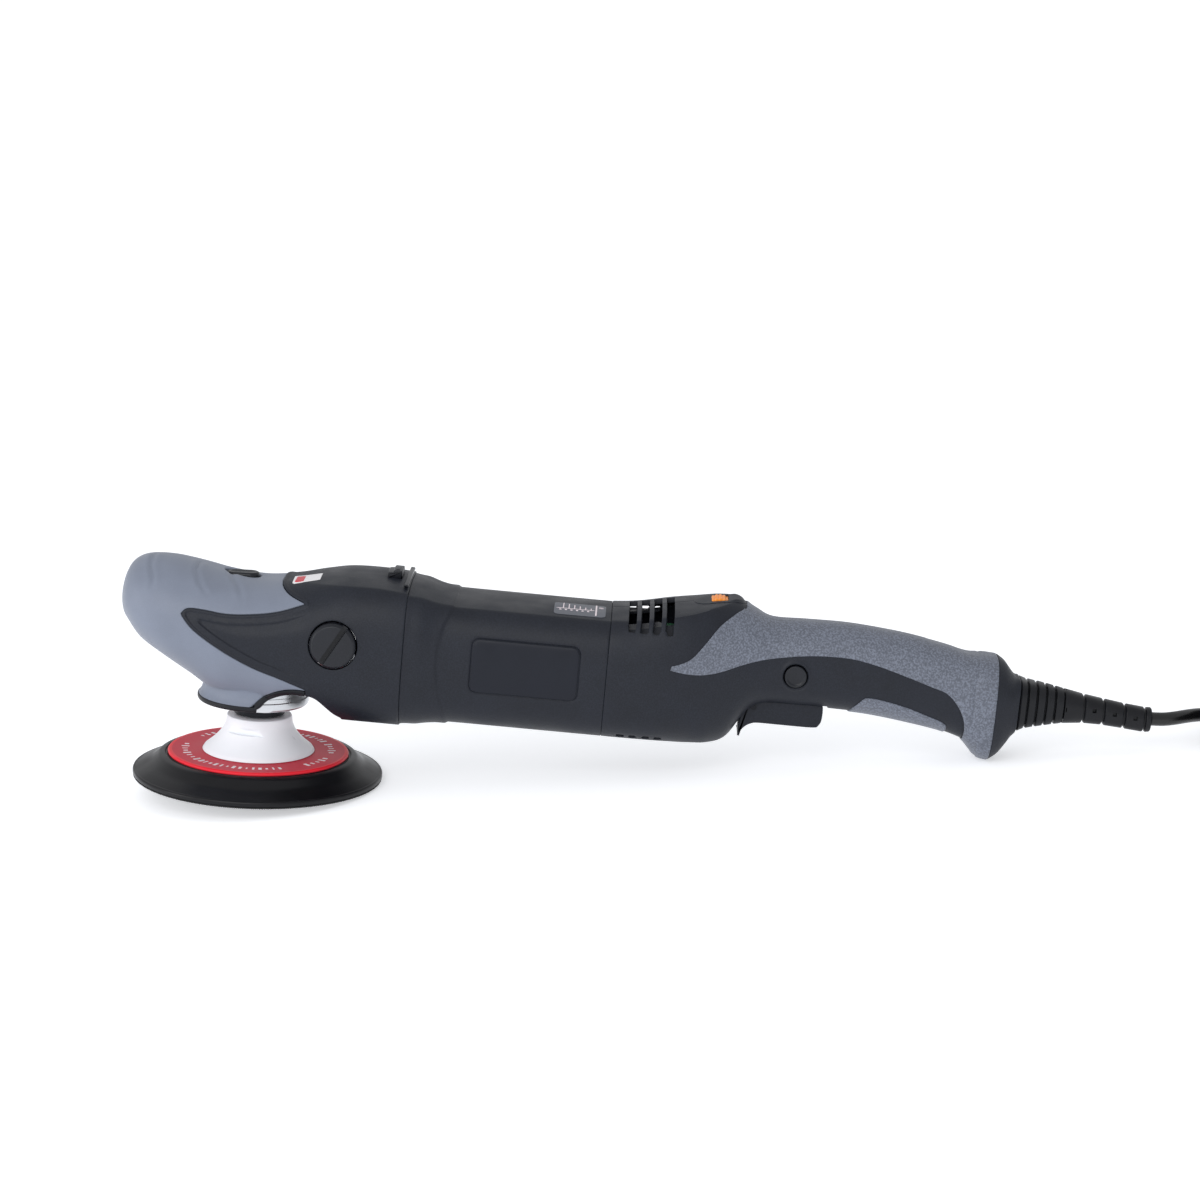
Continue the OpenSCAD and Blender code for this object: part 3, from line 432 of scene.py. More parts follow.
class Patch:
    """Part of a skin as a fine grid that can be trimmed along any line."""

    def __init__(self, skin, us, ws):
        self.loft = skin
        uu, ww = np.meshgrid(us, ws, indexing="ij")
        self.par = np.stack([uu.ravel(), ww.ravel()], 1)
        n = len(ws)
        self.faces = [[i * n + j, (i + 1) * n + j, (i + 1) * n + j + 1, i * n + j + 1]
                      for i in range(len(us) - 1) for j in range(n - 1)]
        self.rolls = []

    def measure(self, rule, par=None):
        p, _ = self.loft.at(self.par if par is None else par)
        return rule(p)

    def cut(self, rule, level=0.0, keep=0, near=0.03):
        """Splits the grid where rule is level; keeps the higher side (1), the lower (-1) or both (0)."""
        value = self.measure(rule) - level
        sign = np.where(value > near, 1, np.where(value < -near, -1, 0))
        edges = {}
        for f in self.faces:
            for a, b in zip(f, f[1:] + f[:1]):
                if sign[a] * sign[b] < 0:
                    edges.setdefault((min(a, b), max(a, b)), len(edges))
        if edges:
            ends = np.array(list(edges))
            lo, hi = self.par[ends[:, 0]], self.par[ends[:, 1]]
            vlo, vhi = value[ends[:, 0]], value[ends[:, 1]]
            for _ in range(4):
                t = (vlo / (vlo - vhi))[:, None]
                mid = lo + (hi - lo) * t
                vmid = self.measure(rule, mid) - level
                low_side = np.sign(vmid) == np.sign(vlo)
                lo = np.where(low_side[:, None], mid, lo)
                vlo = np.where(low_side, vmid, vlo)
                hi = np.where(low_side[:, None], hi, mid)
                vhi = np.where(low_side, vhi, vmid)
                flat = np.abs(vlo - vhi) < 1e-9
                vhi = np.where(flat, vlo + 1e-6, vhi)
            first = len(self.par)
            self.par = np.concatenate([self.par, mid])
        made = []
        for f in self.faces:
            high, low = [], []
            for a, b in zip(f, f[1:] + f[:1]):
                if sign[a] >= 0:
                    high.append(a)
                if sign[a] <= 0:
                    low.append(a)
                if sign[a] * sign[b] < 0:
                    c = first + edges[(min(a, b), max(a, b))]
                    high.append(c)
                    low.append(c)
            has_high = any(sign[a] > 0 for a in f)
            has_low = any(sign[a] < 0 for a in f)
            if has_high and keep >= 0 and len(high) > 2:
                made.append(high)
            if has_low and keep <= 0 and len(low) > 2:
                made.append(low)
            if not has_high and not has_low:
                made.append(f)
        self.faces = made

    def trim(self, rule, side, gap=0.12, round_r=0.5):
        """Trims along a rule and adds rings so that the edge can roll over; side is the side kept."""
        self.cut(rule, side * gap, keep=side)
        for share in (0.06, 0.22, 0.5, 1.0):
            self.cut(rule, side * (gap + round_r * share))
        self.rolls.append((rule, side, gap, round_r))

    def solid(self, raise_by=None, wall=2.4, base=0.0):
        """Closed shell: the outer face, raised or rolled over, an inner face and the edges between."""
        seam = {}
        ids = np.arange(len(self.par))
        for k in np.flatnonzero((np.abs(self.par[:, 1]) < 1e-9) | (np.abs(self.par[:, 1] - 2) < 1e-9)):
            ids[k] = seam.setdefault(round(float(self.par[k, 0]), 5), k)
        faces = []
        for f in self.faces:
            g = [int(ids[k]) for k in f]
            g = [k for i, k in enumerate(g) if k != g[i - 1]]
            if len(g) > 2:
                faces.append(g)
        used = sorted({k for f in faces for k in f})
        new = {k: i for i, k in enumerate(used)}
        par = self.par[used]
        p, n = self.loft.at(par)
        lift = np.full(len(p), base, float)
        if raise_by is not None:
            lift += raise_by(p)
        for rule, side, gap, r in self.rolls:
            inside = np.clip(side * rule(p) - gap, 0, r)
            lift -= r - np.sqrt(np.maximum(r * r - (r - inside) ** 2, 0))
        outer = p + n * lift[:, None]
        inner = p + n * (base - wall)
        faces = [[new[k] for k in f] for f in faces]
        count = {}
        for f in faces:
            for a, b in zip(f, f[1:] + f[:1]):
                count[(min(a, b), max(a, b))] = count.get((min(a, b), max(a, b)), 0) + 1
        m = len(p)
        rim = [[b, a, a + m, b + m] for f in faces for a, b in zip(f, f[1:] + f[:1])
               if count[(min(a, b), max(a, b))] == 1]
        return np.concatenate([outer, inner]), faces + [[k + m for k in reversed(f)] for f in faces] + rim


def patch_of(loft, x_from=None, x_to=None, step=1.2, around=(0, 2)):
    """A patch of a loft between two stations, with even cells and a line of them on the crease."""
    u0 = 0 if x_from is None else loft.u_at(x_from)
    u1 = loft.length if x_to is None else loft.u_at(x_to)
    us = np.linspace(u0, u1, max(2, int((u1 - u0) / step) + 1))
    row = loft.points[len(loft.points) // 2]
    girth = np.linalg.norm(np.diff(row, axis=0), axis=1).sum()
    marks = [0, CREASE, 1, 2 - CREASE, 2]
    ws = [around[0]]
    for a, b in zip(marks, marks[1:]):
        a, b = max(a, around[0]), min(b, around[1])
        if b > a:
            ws += list(np.linspace(a, b, max(2, int(girth * (b - a) / step) + 1))[1:])
    return Patch(loft, us, np.array(ws))


def revolve(profile, steps=96, turn=360.0, start=0.0):
    """Surface of revolution about Z of a closed profile [[r, z], ...]."""
    full = turn >= 360
    count = steps if full else steps + 1
    verts, faces = [], []
    for i in range(count):
        a = math.radians(start + turn * i / steps)
        verts += [[r * math.cos(a), r * math.sin(a), z] for r, z in profile]
    n = len(profile)
    for i in range(steps):
        j = (i + 1) % count
        faces += [[i * n + k, j * n + k, j * n + (k + 1) % n, i * n + (k + 1) % n] for k in range(n)]
    if not full:
        faces += [list(range(n))[::-1], [(count - 1) * n + k for k in range(n)]]
    return verts, faces


def rounded_profile(points, r, steps=5):
    """A closed profile whose corners are rounded by r (or by the third value of a point)."""
    out = []
    n = len(points)
    for i in range(n):
        p = np.array(points[i][:2], float)
        q, s = (np.array(points[(i + k) % n][:2], float) for k in (-1, 1))
        radius = points[i][2] if len(points[i]) > 2 else r
        a, b = q - p, s - p
        la, lb = np.linalg.norm(a), np.linalg.norm(b)
        cut = min(radius, la * 0.45, lb * 0.45)
        if cut < 1e-3:
            out.append(p)
            continue
        start, stop = p + a / la * cut, p + b / lb * cut
        for k in range(steps + 1):
            t = k / steps
            out.append((1 - t) ** 2 * start + 2 * t * (1 - t) * p + t * t * stop)
    return [[float(a), float(b)] for a, b in out]


def ring_faces(count, n):
    """Faces between rings of n points each, and a cap on each end."""
    faces = [[i * n + k, i * n + (k + 1) % n, (i + 1) * n + (k + 1) % n, (i + 1) * n + k]
             for i in range(count - 1) for k in range(n)]
    return faces + [list(range(n)), list(range((count - 1) * n, count * n))]


def prism(points, low, high, axis="y", bevel=0.4, bevel_steps=3):
    """An outline in the plane across an axis, pushed through from low to high, with rounded rims."""
    poly = np.asarray(points, float)
    area = 0.5 * (poly[:, 0] * np.roll(poly[:, 1], -1) - np.roll(poly[:, 0], -1) * poly[:, 1]).sum()
    if area < 0:
        poly = poly[::-1]
    before, after = np.roll(poly, 1, axis=0), np.roll(poly, -1, axis=0)
    tangent = after - before
    tangent /= np.maximum(np.linalg.norm(tangent, axis=1, keepdims=True), 1e-9)
    inward = np.stack([-tangent[:, 1], tangent[:, 0]], 1)
    angles = [math.pi / 2 * k / bevel_steps for k in range(bevel_steps + 1)]
    levels = [(low + bevel * (1 - math.cos(a)), bevel * (1 - math.sin(a))) for a in angles]
    levels += [(low + high - z, d) for z, d in reversed(levels)]
    verts = []
    for z, d in levels:
        for q in poly + inward * d:
            verts.append([q[0], z, q[1]] if axis == "y" else [q[0], q[1], z])
    return verts, ring_faces(len(levels), len(poly))


def joined(*parts):
    """Several (verts, faces) as one."""
    verts, faces, base = [], [], 0
    for v, f in parts:
        v = np.asarray(v, float).reshape(-1, 3)
        verts.append(v)
        faces += [[k + base for k in g] for g in f]
        base += len(v)
    return np.concatenate(verts), faces


def moved(part, shift=(0, 0, 0), turn=None):
    v, f = part
    v = np.asarray(v, float).reshape(-1, 3)
    if turn is not None:
        v = v @ np.array(turn.to_3x3()).T
    return v + np.array(shift), f


def along_x(part, rise=0.0):
    """A part made round Z, laid round an axis along X."""
    v, f = part
    return np.asarray(v)[:, [2, 0, 1]] + np.array([0, 0, rise]), f


def out_of_flank(part, x, z, side):
    """A part made round Z, standing out of one flank at x, z."""
    v, f = part
    v = np.asarray(v)
    return np.stack([v[:, 0] + x, v[:, 2] * side, v[:, 1] + z], 1), f


def carve(obj, cutter, at=BODY):
    """Cuts a closed (verts, faces) cutter out of a piece."""
    tool = piece("cutter", *cutter, GLOSS_BLACK, at=at, flat=True)
    mod = obj.modifiers.new("carve", "BOOLEAN")
    mod.operation = "DIFFERENCE"
    mod.solver = "EXACT"
    mod.object = tool
    graph = bpy.context.evaluated_depsgraph_get()
    mesh = bpy.data.meshes.new_from_object(obj.evaluated_get(graph))
    obj.modifiers.clear()
    obj.data = mesh
    bpy.data.objects.remove(tool)
    mesh.set_sharp_from_angle(angle=math.radians(35))


def block(low, high, bevel=0.3):
    x0, y0, z0 = low
    x1, y1, z1 = high
    return prism([[x0, z0], [x1, z0], [x1, z1], [x0, z1]], y0, y1, bevel=bevel, bevel_steps=1)


# ---- cord: the run from the strain relief, the coil behind the handle, and the lead to the plug ----
CORD_D = 6.8
CORD_ROUTE = [[255.6, 0, 16.6], [262, 0.9, 15.9], [268, 3.2, 15.6], [274, 7.2, 15.2], [280, 12.4, 14.3],
              [286, 18.6, 12.7], [291.5, 25, 10.4], [296.5, 31.4, 7.7], [301.5, 37.6, 5], [306.6, 43.4, 3.4]]
LEAD_ROUTE = [[292, 8, 23.8], [293.5, 18, 26], [298, 28, 30], [305, 37, 33], [314, 43, 34], [324, 46.5, 34.2]]
COIL_CENTRE = (342.0, 8.0)
INNER_TURN, OUTER_TURN = 29.8, 50.2
POINTS_A_TURN = 36
LAYERS = [3.4, 10.2, 17.0, 23.8]
START_ANGLE = 135.0
TURNS = [3.75, 3.75, 3.75, 3.625]       # in each layer
SLIDE = 0.31                            # share of a turn that moves over to the next column
CLIMB = 0.27                            # share of a turn that climbs to the next layer
PLUG_AT, PLUG_TURN = (324.4, 46.6, 34.2), math.radians(-8)


def ease(t):
    return 0.5 - 0.5 * math.cos(math.pi * min(max(t, 0.0), 1.0))


def coil_points():
    """Turns of the coil, layer on layer, from the cord's end on the floor up to the plug's lead.

    Each turn keeps its column and then slides over to the next one, so the turns lie side by side."""
    out = []
    angle = math.radians(START_ANGLE)
    for layer, z in enumerate(LAYERS):
        turns = TURNS[layer]
        steps = round(POINTS_A_TURN * turns)
        below = LAYERS[layer - 1] if layer else z
        for k in range(steps):
            u = turns * k / steps
            column = min(int(u), 3) + (ease((u % 1 - 1 + SLIDE) / SLIDE) if u < 3 else 0)
            r = OUTER_TURN - CORD_D * column if layer % 2 == 0 else INNER_TURN + CORD_D * column
            height = below + (z - below) * ease(u / CLIMB)
            a = angle - 2 * math.pi * u
            out.append([COIL_CENTRE[0] + r * math.cos(a), COIL_CENTRE[1] + r * math.sin(a), height])
        angle -= 2 * math.pi * turns
    return out


def cord_path():
    run = smooth_curve(CORD_ROUTE, 4)
    lead = smooth_curve(LEAD_ROUTE, 5)
    return np.concatenate([run[:-1], coil_points(), lead])


def make_cord():
    line = cord_path() * MM
    curve = bpy.data.curves.new("mains_cord", "CURVE")
    curve.dimensions = "3D"
    spline = curve.splines.new("POLY")
    spline.points.add(len(line) - 1)
    for point, p in zip(spline.points, line):
        point.co = (*p, 1)
    spline.use_smooth = True
    curve.bevel_depth = CORD_D / 2 * MM
    curve.bevel_resolution = 5
    curve.use_fill_caps = True
    curve.materials.append(CORD_SKIN)
    cord = bpy.data.objects.new("mains_cord", curve)
    bpy.context.scene.collection.objects.link(cord)
    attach(cord, "casing")
    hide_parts("cord", "cord_coil")
    total = float(np.linalg.norm(np.diff(line, axis=0), axis=1).sum())
    return cord, total


def make_plug():
    """A moulded two-pin plug: ribbed neck, flared body with finger dents, rounded everywhere."""
    at = ROW @ Matrix.Translation(PLUG_AT) @ Matrix.Rotation(PLUG_TURN, 4, "Z")
    rings = []
    rows = [(0.6, 4.4, 4.4), (3, 4.9, 4.9), (4, 5.1, 5.1), (4.6, 4.5, 4.5), (5.6, 4.5, 4.5), (6.2, 5.5, 5.5),
            (8.4, 5.8, 5.8), (9, 5.0, 5.0), (10, 5.0, 5.0), (10.6, 6.1, 6.1), (14, 7.0, 6.6),
            (16.5, 10.6, 6.8), (18.5, 12.6, 6.8), (21, 13.2, 6.2), (26, 12.9, 5.6), (31, 13.3, 6.3),
            (34, 13.5, 6.8), (35.6, 13.2, 6.6), (36, 12.6, 6.1)]
    for x, wide, high in rows:
        power = 2.0 if wide < 7.2 else 3.4
        a = np.linspace(0, 2 * math.pi, 48, endpoint=False)
        y = wide * np.sign(np.cos(a)) * np.abs(np.cos(a)) ** (2 / power)
        z = high * np.sign(np.sin(a)) * np.abs(np.sin(a)) ** (2 / power)
        rings.append(np.stack([np.full(48, x), y, z], 1))
    piece("mains_plug", np.concatenate(rings), ring_faces(len(rings), 48), PAD_RUBBER, at=at, sharp=50,
          replaces=["plug_body"], slot="black_rubber")


def make_tie():
    """A cable tie round one side of the coil, with its small head."""
    outer = rounded_profile([[-15.3, 0.2], [15.1, 0.2], [15.1, 29], [-15.3, 29]], 3)
    inner = rounded_profile([[-14.0, 0.0], [13.7, 0.0], [13.7, 27.4], [-14.0, 27.4]], 2.4)
    n = len(outer)
    verts, faces = [], []
    for y in (-2.4, 2.4):
        verts += [[x, y, z] for x, z in outer] + [[x, y, max(z, 0.6)] for x, z in inner]
    for base in (0, 2 * n):
        for k in range(n):
            faces.append([base + k, base + (k + 1) % n, base + n + (k + 1) % n, base + n + k])
    for k in range(n):
        j = (k + 1) % n
        faces.append([k, j, 2 * n + j, 2 * n + k])
        faces.append([n + k, n + j, 3 * n + j, 3 * n + k])
    head = block([-3.5, -3.2, 27.5], [3.5, 3.2, 29.2], bevel=0.6)
    at = ROW @ Matrix.Translation((COIL_CENTRE[0] + 40, COIL_CENTRE[1], 0))
    piece("cord_band", *joined((verts, faces), head), TRIM_RUBBER, at=at, replaces=["cord_tie"],
          slot="black_gloss")


# ---- outlines and lofts of the casing ----
HEAD = [[-70.2, 16, 15.9, 16.1, 0.06, 0.02, 2], [-69.7, 16, 11.6, 20.6, 6, 0.6, 2],
        [-68.2, 16, 6, 27, 13, 2, 2], [-65, 15, 2, 32.5, 20, 3, 2], [-58, 12, -6, 36, 26.5, 3, 2],
        [-46, 7, -13, 36.5, 31.5, 3, 2.1], [-32, 3, -21, 34.5, 33.5, 4, 2.2],
        [-17, 0, -30, 31.5, 35, 5, 2.3], [0, 0, -33, 30, 35.5, 7, 2.4], [17, 0, -35, 32, 36, 12, 2.5],
        [30, 0, -36, 34.6, 36.5, 21, 2.7], [42, 0, -36.5, 36.6, 37, 26, 2.8],
        [58, 0, -36.6, 37, 37, 26.5, 2.8], [73, 0, -36.6, 36.2, 37, 27.5, 2.8]]
MOTOR = [[73, 0, -36, 35.6, 36.5, 28, 2.8], [79, 0, -35, 34.2, 35.6, 27, 2.8],
         [88, 0, -33.4, 31.4, 34, 25, 2.8], [98, 0, -33, 30.7, 33.6, 24.5, 2.8],
         [140, 0, -33, 30.6, 33.5, 24, 2.8], [173, 0, -33, 30.6, 33.5, 24, 2.8]]
REAR = [[173, 0, -33, 30.8, 33.5, 24, 2.8], [186, 0, -33, 32.2, 33.6, 25, 2.8],
        [202, 0, -33, 35.6, 33, 25, 2.7], [215, 2, -33, 38, 31, 22, 2.6],
        [226, 4, -32.4, 40.2, 27.5, 16, 2.5], [235, 6.5, -28.6, 40.8, 24, 7.5, 2.4],
        [244, 9, -15, 36.3, 21, 3, 2.3], [253, 10.5, -10.5, 32.6, 19, 3, 2.2],
        [270, 10.5, -10, 32.8, 18.2, 3, 2.2], [288, 10.5, -10, 33, 17.8, 3, 2.2],
        [304, 10.5, -10.6, 32, 17.8, 3, 2.2], [322, 9, -12.6, 30, 18, 3, 2.2],
        [340, 6.5, -15.4, 26.6, 18.5, 3, 2.2], [353, 4, -19, 23.6, 19, 3, 2.3]]
GRIP_END = [[322, 9, -13.2, 30.6, 18.6, 3, 2.2], [340, 6.5, -16, 27.2, 19.1, 3, 2.2],
            [347, 4.2, -17.4, 25.4, 19.4, 3, 2.3], [352, 1, -19.4, 24.5, 19.8, 4, 2.5],
            [356, 0, -23.4, 24.7, 20.2, 4, 2.6], [360, 0, -27.4, 24.8, 20.4, 4, 2.6],
            [366, 0, -28.6, 24.4, 20.4, 4, 2.6]]
CAP = [[366.1, 0, -28.2, 24.2, 20.2, 4, 2.6], [370, 0, -25.2, 21.6, 18, 4, 2.6],
       [373.6, 0.4, -20, 17.4, 15.6, 4, 2.7], [376, 0.8, -15.6, 15, 14, 5, 3],
       [378.2, 1, -12.9, 14.6, 13, 6, 3.4]]
COVER_EDGE = [[11, 60], [10.4, 34], [10.1, 30.4], [15.1, 27.2], [24, 24.6], [12, 20], [0, 17.5], [-14, 16.3],
              [-26, 17.3], [-33.5, 17.2], [-36.5, 14.5], [-30, 7.5], [-16, -1], [0, -8.5], [14, -13],
              [27, -17.5], [27, -60], [80, -60], [80, 60]]
ARCH = [[2, -80], [2, -31.6], [4.5, -29.6], [8, -26.4], [14.4, -22.7], [21, -20.9], [28, -21], [32.5, -22.6],
        [37, -26.6], [40.5, -30.2], [44, -33], [45, -80]]
GRIP_EDGE = [[241, 50], [239, 39.5], [234, 36.5], [226.5, 31], [219.5, 22], [213.5, 15], [207, 11.8],
             [200.6, 10.2], [205.5, 8.6], [214, 7.4], [222, 7.6], [230, 9.4], [238, 12.2], [247, 14.8],
             [258, 17], [272, 19], [286, 19.6], [296, 19], [308, 16.6], [321, 13], [333, 9.4], [341, 6.8],
             [347, 1], [350.6, -6], [351.6, -12], [351.6, -60], [390, -60], [390, 50]]
INLAY_EDGE = [[294.6, -14], [300, -1.5], [304, 0.3], [312, -0.6], [323, -3], [334, -6.6], [341.5, -9.4],
              [343.4, -13], [341, -22], [318, -22]]
TRIGGER_ROOM = [[240.5, -40], [240.5, -16], [243, -5.6], [284.2, -5.6], [284.2, -40]]
TRIGGER_EDGE = [[248, -7.9], [280.6, -7.5], [281.9, -8.8], [281.9, -14.9], [280.6, -18.2], [277.5, -19.5],
                [261.9, -19.6], [250.6, -19.6], [247.2, -20.2], [244.4, -21.8], [242.4, -24.2],
                [241.3, -26.9], [240.9, -26.9], [240.9, -17.5], [241.4, -14.4], [243, -10.4], [245, -8.6]]
SEAM_FRONT, SEAM_REAR = 73, 173
SIDE_PLUG = (39, 6.7)                   # x, z of the side handle plugs
BUTTON = (266, 8.3)                     # x, z of the lock-on button
DIAL_X, DIAL_Z = 226, 33.5
FAR = 30.0                              # a distance beyond the reach of any trim
cover_line = signed_distance(outline(COVER_EDGE, corners=(0, 4, 10, 15, 16, 17, 18), steps=5))
arch_line = signed_distance(outline(ARCH, corners=(0, 1, 10, 11), steps=5))
grip_line = signed_distance(outline(GRIP_EDGE, corners=(0, 7, 24, 25, 26, 27), steps=5))
inlay_line = signed_distance(outline(INLAY_EDGE, corners=(8, 9), steps=5))
trigger_room = signed_distance(TRIGGER_ROOM)
head_skin = Loft(HEAD)
motor_skin = Loft(MOTOR)
rear_skin = Loft(REAR)
grip_skin = Loft(GRIP_END)
cap_skin = Loft(CAP)
flare_skin = Spun([[30.9, 54.2], [29.8, 52.4], [28.9, 50.5], [28.5, 48.7], [28.7, 47], [29.3, 45.2],
                   [30.5, 43.2], [31, 41.8], [31, 40.4]])


def behind(x):
    return lambda p: p[:, 0] - x


def before(x):
    return lambda p: x - p[:, 0]


def only_above(level, rule):
    """A trim rule that holds only above a height."""
    return lambda p: np.where(p[:, 2] > level, rule(p), FAR)


def spindle_place(p):
    return p @ TO_SPINDLE[:3, :3].T + TO_SPINDLE[:3, 3]


def arch_trim(p):
    """How far a point is outside the trim band round the arch."""
    return arch_line(p) - 2.7


def above_foot(p):
    s = spindle_place(p)
    return s[:, 2] - 50.0 + 3 * np.maximum(0, s[:, 0] - 3)


def hood_bottom(p):
    return np.minimum(arch_trim(p), above_foot(p))


def oval(p):
    """Distance in plan to the recess of the lock button, on the top only."""
    s = spindle_place(p)
    x = np.abs(s[:, 0] + 10) - 3.4
    d = np.hypot(np.maximum(x, 0), s[:, 1]) - 5.7
    return np.where(s[:, 2] > 90, d, 9.0)


FINGER_CREASES = [[(-55.2, 40), (-55.4, 34), (-52.6, 29)],
                  [(-31.4, 40), (-32.8, 33), (-29.5, 28), (-23.5, 22.5)],
                  [(-20, 36), (-17.4, 32), (-11, 28), (-6.9, 22)]]


def creases(p):
    """Shallow finger creases over the top of the hood."""
    out = np.zeros(len(p))
    for line in FINGER_CREASES:
        pts = np.array(line)
        order = np.argsort(pts[:, 1])
        x = np.interp(p[:, 2], pts[order, 1], pts[order, 0])
        near = np.abs(p[:, 0] - x)
        fade = blend01(p[:, 2], 20, 27) * (1 - blend01(-p[:, 1], 24, 29)) * blend01(-p[:, 1], -3, 3)
        out -= 0.5 * np.exp(-(near / 1.1) ** 2) * fade
        out += 0.3 * np.exp(-((near - 2.4) / 1.5) ** 2) * fade
    return out


def make_hood():
    body = patch_of(head_skin, None, 30, step=1.15)
    body.trim(cover_line, 1, gap=0.1, round_r=0.5)
    body.trim(hood_bottom, 1, gap=0.0, round_r=0.7)
    body.trim(oval, 1, gap=0.0, round_r=0.7)
    foot = Patch(flare_skin, np.linspace(0, flare_skin.run[flare_skin_index(43.2)], 14),
                 np.linspace(0.35, 1.65, 110))
    foot.trim(arch_trim, 1, gap=0.0, round_r=0.7)
    parts = joined(body.solid(creases, wall=2.4), foot.solid(wall=2.2))
    piece("hood_shell", *parts, SOFT_GREY, sharp=40, replaces=["front_hood"], slot="soft_grey")


def flare_skin_index(height):
    return int(np.argmin(np.abs(flare_skin.line[:, 1] - height)))


def make_skirt_trim():
    ring = moved(revolve(rounded_profile([[26.6, 40.55], [30.7, 40.55], [31.1, 41.4], [31, 43.15],
                                          [26.6, 43.15]], 0.5), steps=110, turn=188, start=86))
    to_body = np.linalg.inv(TO_SPINDLE)
    v = np.asarray(ring[0]) @ to_body[:3, :3].T + to_body[:3, 3]
    band = patch_of(head_skin, 2, 30, step=1.0)
    band.trim(cover_line, 1, gap=0.15, round_r=0.3)
    band.trim(arch_line, 1, gap=0.0, round_r=0.5)
    band.trim(arch_trim, -1, gap=0.0, round_r=0.4)
    band.cut(lambda p: spindle_place(p)[:, 0] - 5.5, keep=1)
    foot = Patch(flare_skin, np.linspace(0, flare_skin.length, 22), np.linspace(0.3, 1.7, 130))
    foot.trim(arch_line, 1, gap=0.0, round_r=0.5)
    foot.trim(arch_trim, -1, gap=0.0, round_r=0.4)
    foot.cut(lambda p: spindle_place(p)[:, 0] - 1.2, keep=1)
    parts = joined((v, ring[1]), band.solid(wall=2.6, base=0.45), foot.solid(wall=2.6, base=0.45))
    piece("skirt_band", *parts, TRIM_RUBBER, replaces=["skirt_trim"], slot="black_rubber")


def plug_seat(p):
    """Distance outside the round seat of the side handle plugs, on the flanks only."""
    d = np.hypot(p[:, 0] - SIDE_PLUG[0], p[:, 2] - SIDE_PLUG[1]) - 12.0
    return np.where(np.abs(p[:, 1]) > 15, d, 20.0)


def cover_detail(p):
    """The raised rim of the cover and the fine line moulded inside it on its front."""
    inside = -cover_line(p)
    rim = 0.45 * (1 - blend01(inside, 1.0, 1.9))
    front = (1 - blend01(p[:, 0], 14, 30)) * (1 - blend01(p[:, 2], 21, 25))
    step = -0.75 * blend01(inside, 4.2, 5.0) * (1 - 0.75 * blend01(inside, 5.6, 11)) * front
    return rim + step + 0.1


def make_cover():
    shell = patch_of(head_skin, -40, SEAM_FRONT, step=1.3)
    for depth in (1.0, 1.35, 1.7, 2.0, 4.2, 4.5, 4.8, 5.1, 5.8, 7.0):
        shell.cut(cover_line, -depth)
    shell.trim(cover_line, -1, gap=0.1, round_r=0.45)
    shell.trim(arch_line, 1, gap=0.0, round_r=0.6)
    shell.trim(plug_seat, 1, gap=0.0, round_r=0.45)
    shell.trim(before(SEAM_FRONT), 1, gap=0.02, round_r=0.5)
    piece("cover_shell", *shell.solid(cover_detail, wall=2.5), CASING, replaces=["gear_cover"],
          slot="black_casing")


def make_latch():
    """The small two-level tab on top of the cover, and the low lip before the seam."""
    side = rounded_profile([[61, 36.2, 0.1], [61, 39.2], [63.4, 39.4], [63.9, 40.5], [68.2, 40.4],
                            [68.4, 36.2, 0.1]], 0.5)
    tab = prism(side, -7, 7, bevel=0.6)
    groove = prism(rounded_profile([[64.9, 40.1], [66.8, 40.1], [66.8, 40.75], [64.9, 40.75]], 0.2), -5, 5,
                   bevel=0.2)
    lip = prism(rounded_profile([[70.2, 36, 0.1], [70.4, 37.1], [72.4, 37.0], [72.6, 36, 0.1]], 0.4), -22,
                22, bevel=0.6)
    piece("cover_tab", *joined(tab, groove, lip), GLOSS_BLACK, replaces=["cover_latch"], slot="black_gloss")


def make_side_plugs():
    profile = rounded_profile([[0.01, 28.5, 0], [6.9, 28.5, 0.1], [6.9, 34.2, 0.1], [11.3, 34.2, 0.2],
                               [11.3, 38.0, 0.6], [10.0, 39.4, 0.5], [0.01, 39.4, 0]], 0.4, 4)
    for side, name in ((-1, "left"), (1, "right")):
        plug = piece("side_plug_" + name, *out_of_flank(revolve(profile, 72), *SIDE_PLUG, side), GLOSS_BLACK,
                     replaces=["side_handle_plugs"], slot="black_gloss")
        mouth = rounded_profile([[-13, -1.35], [13, -1.35], [13, 1.35], [-13, 1.35]], 0.2)
        slot = prism(mouth, 35.4, 44, axis="z", bevel=0.01, bevel_steps=1)
        slot = moved(slot, turn=Matrix.Rotation(math.radians(60), 4, "Z"))
        carve(plug, out_of_flank(slot, *SIDE_PLUG, side))


def make_neck():
    """The cast collar under the gear case, with a flat and a small step on each side."""
    profile = rounded_profile([[14.6, 38.6, 0.2], [23.6, 38.6, 0.8], [24.4, 39.6, 0.3], [24.4, 42.9, 0.4],
                               [23.9, 43.1, 0.1], [23.9, 45.3, 0.1], [17.6, 45.3, 0.1], [17.6, 43, 0.1],
                               [14.6, 43, 0.1]], 0.3)
    collar = piece("neck_ring", *revolve(profile, 120), CAST, at=SPINDLE, replaces=["neck_collar"],
                   slot="cast_aluminium")
    for s in (-1, 1):
        low, high = sorted((s * 22.6, s * 30))
        carve(collar, block([-14, low, 37], [14, high, 41.4], 0.05), at=SPINDLE)


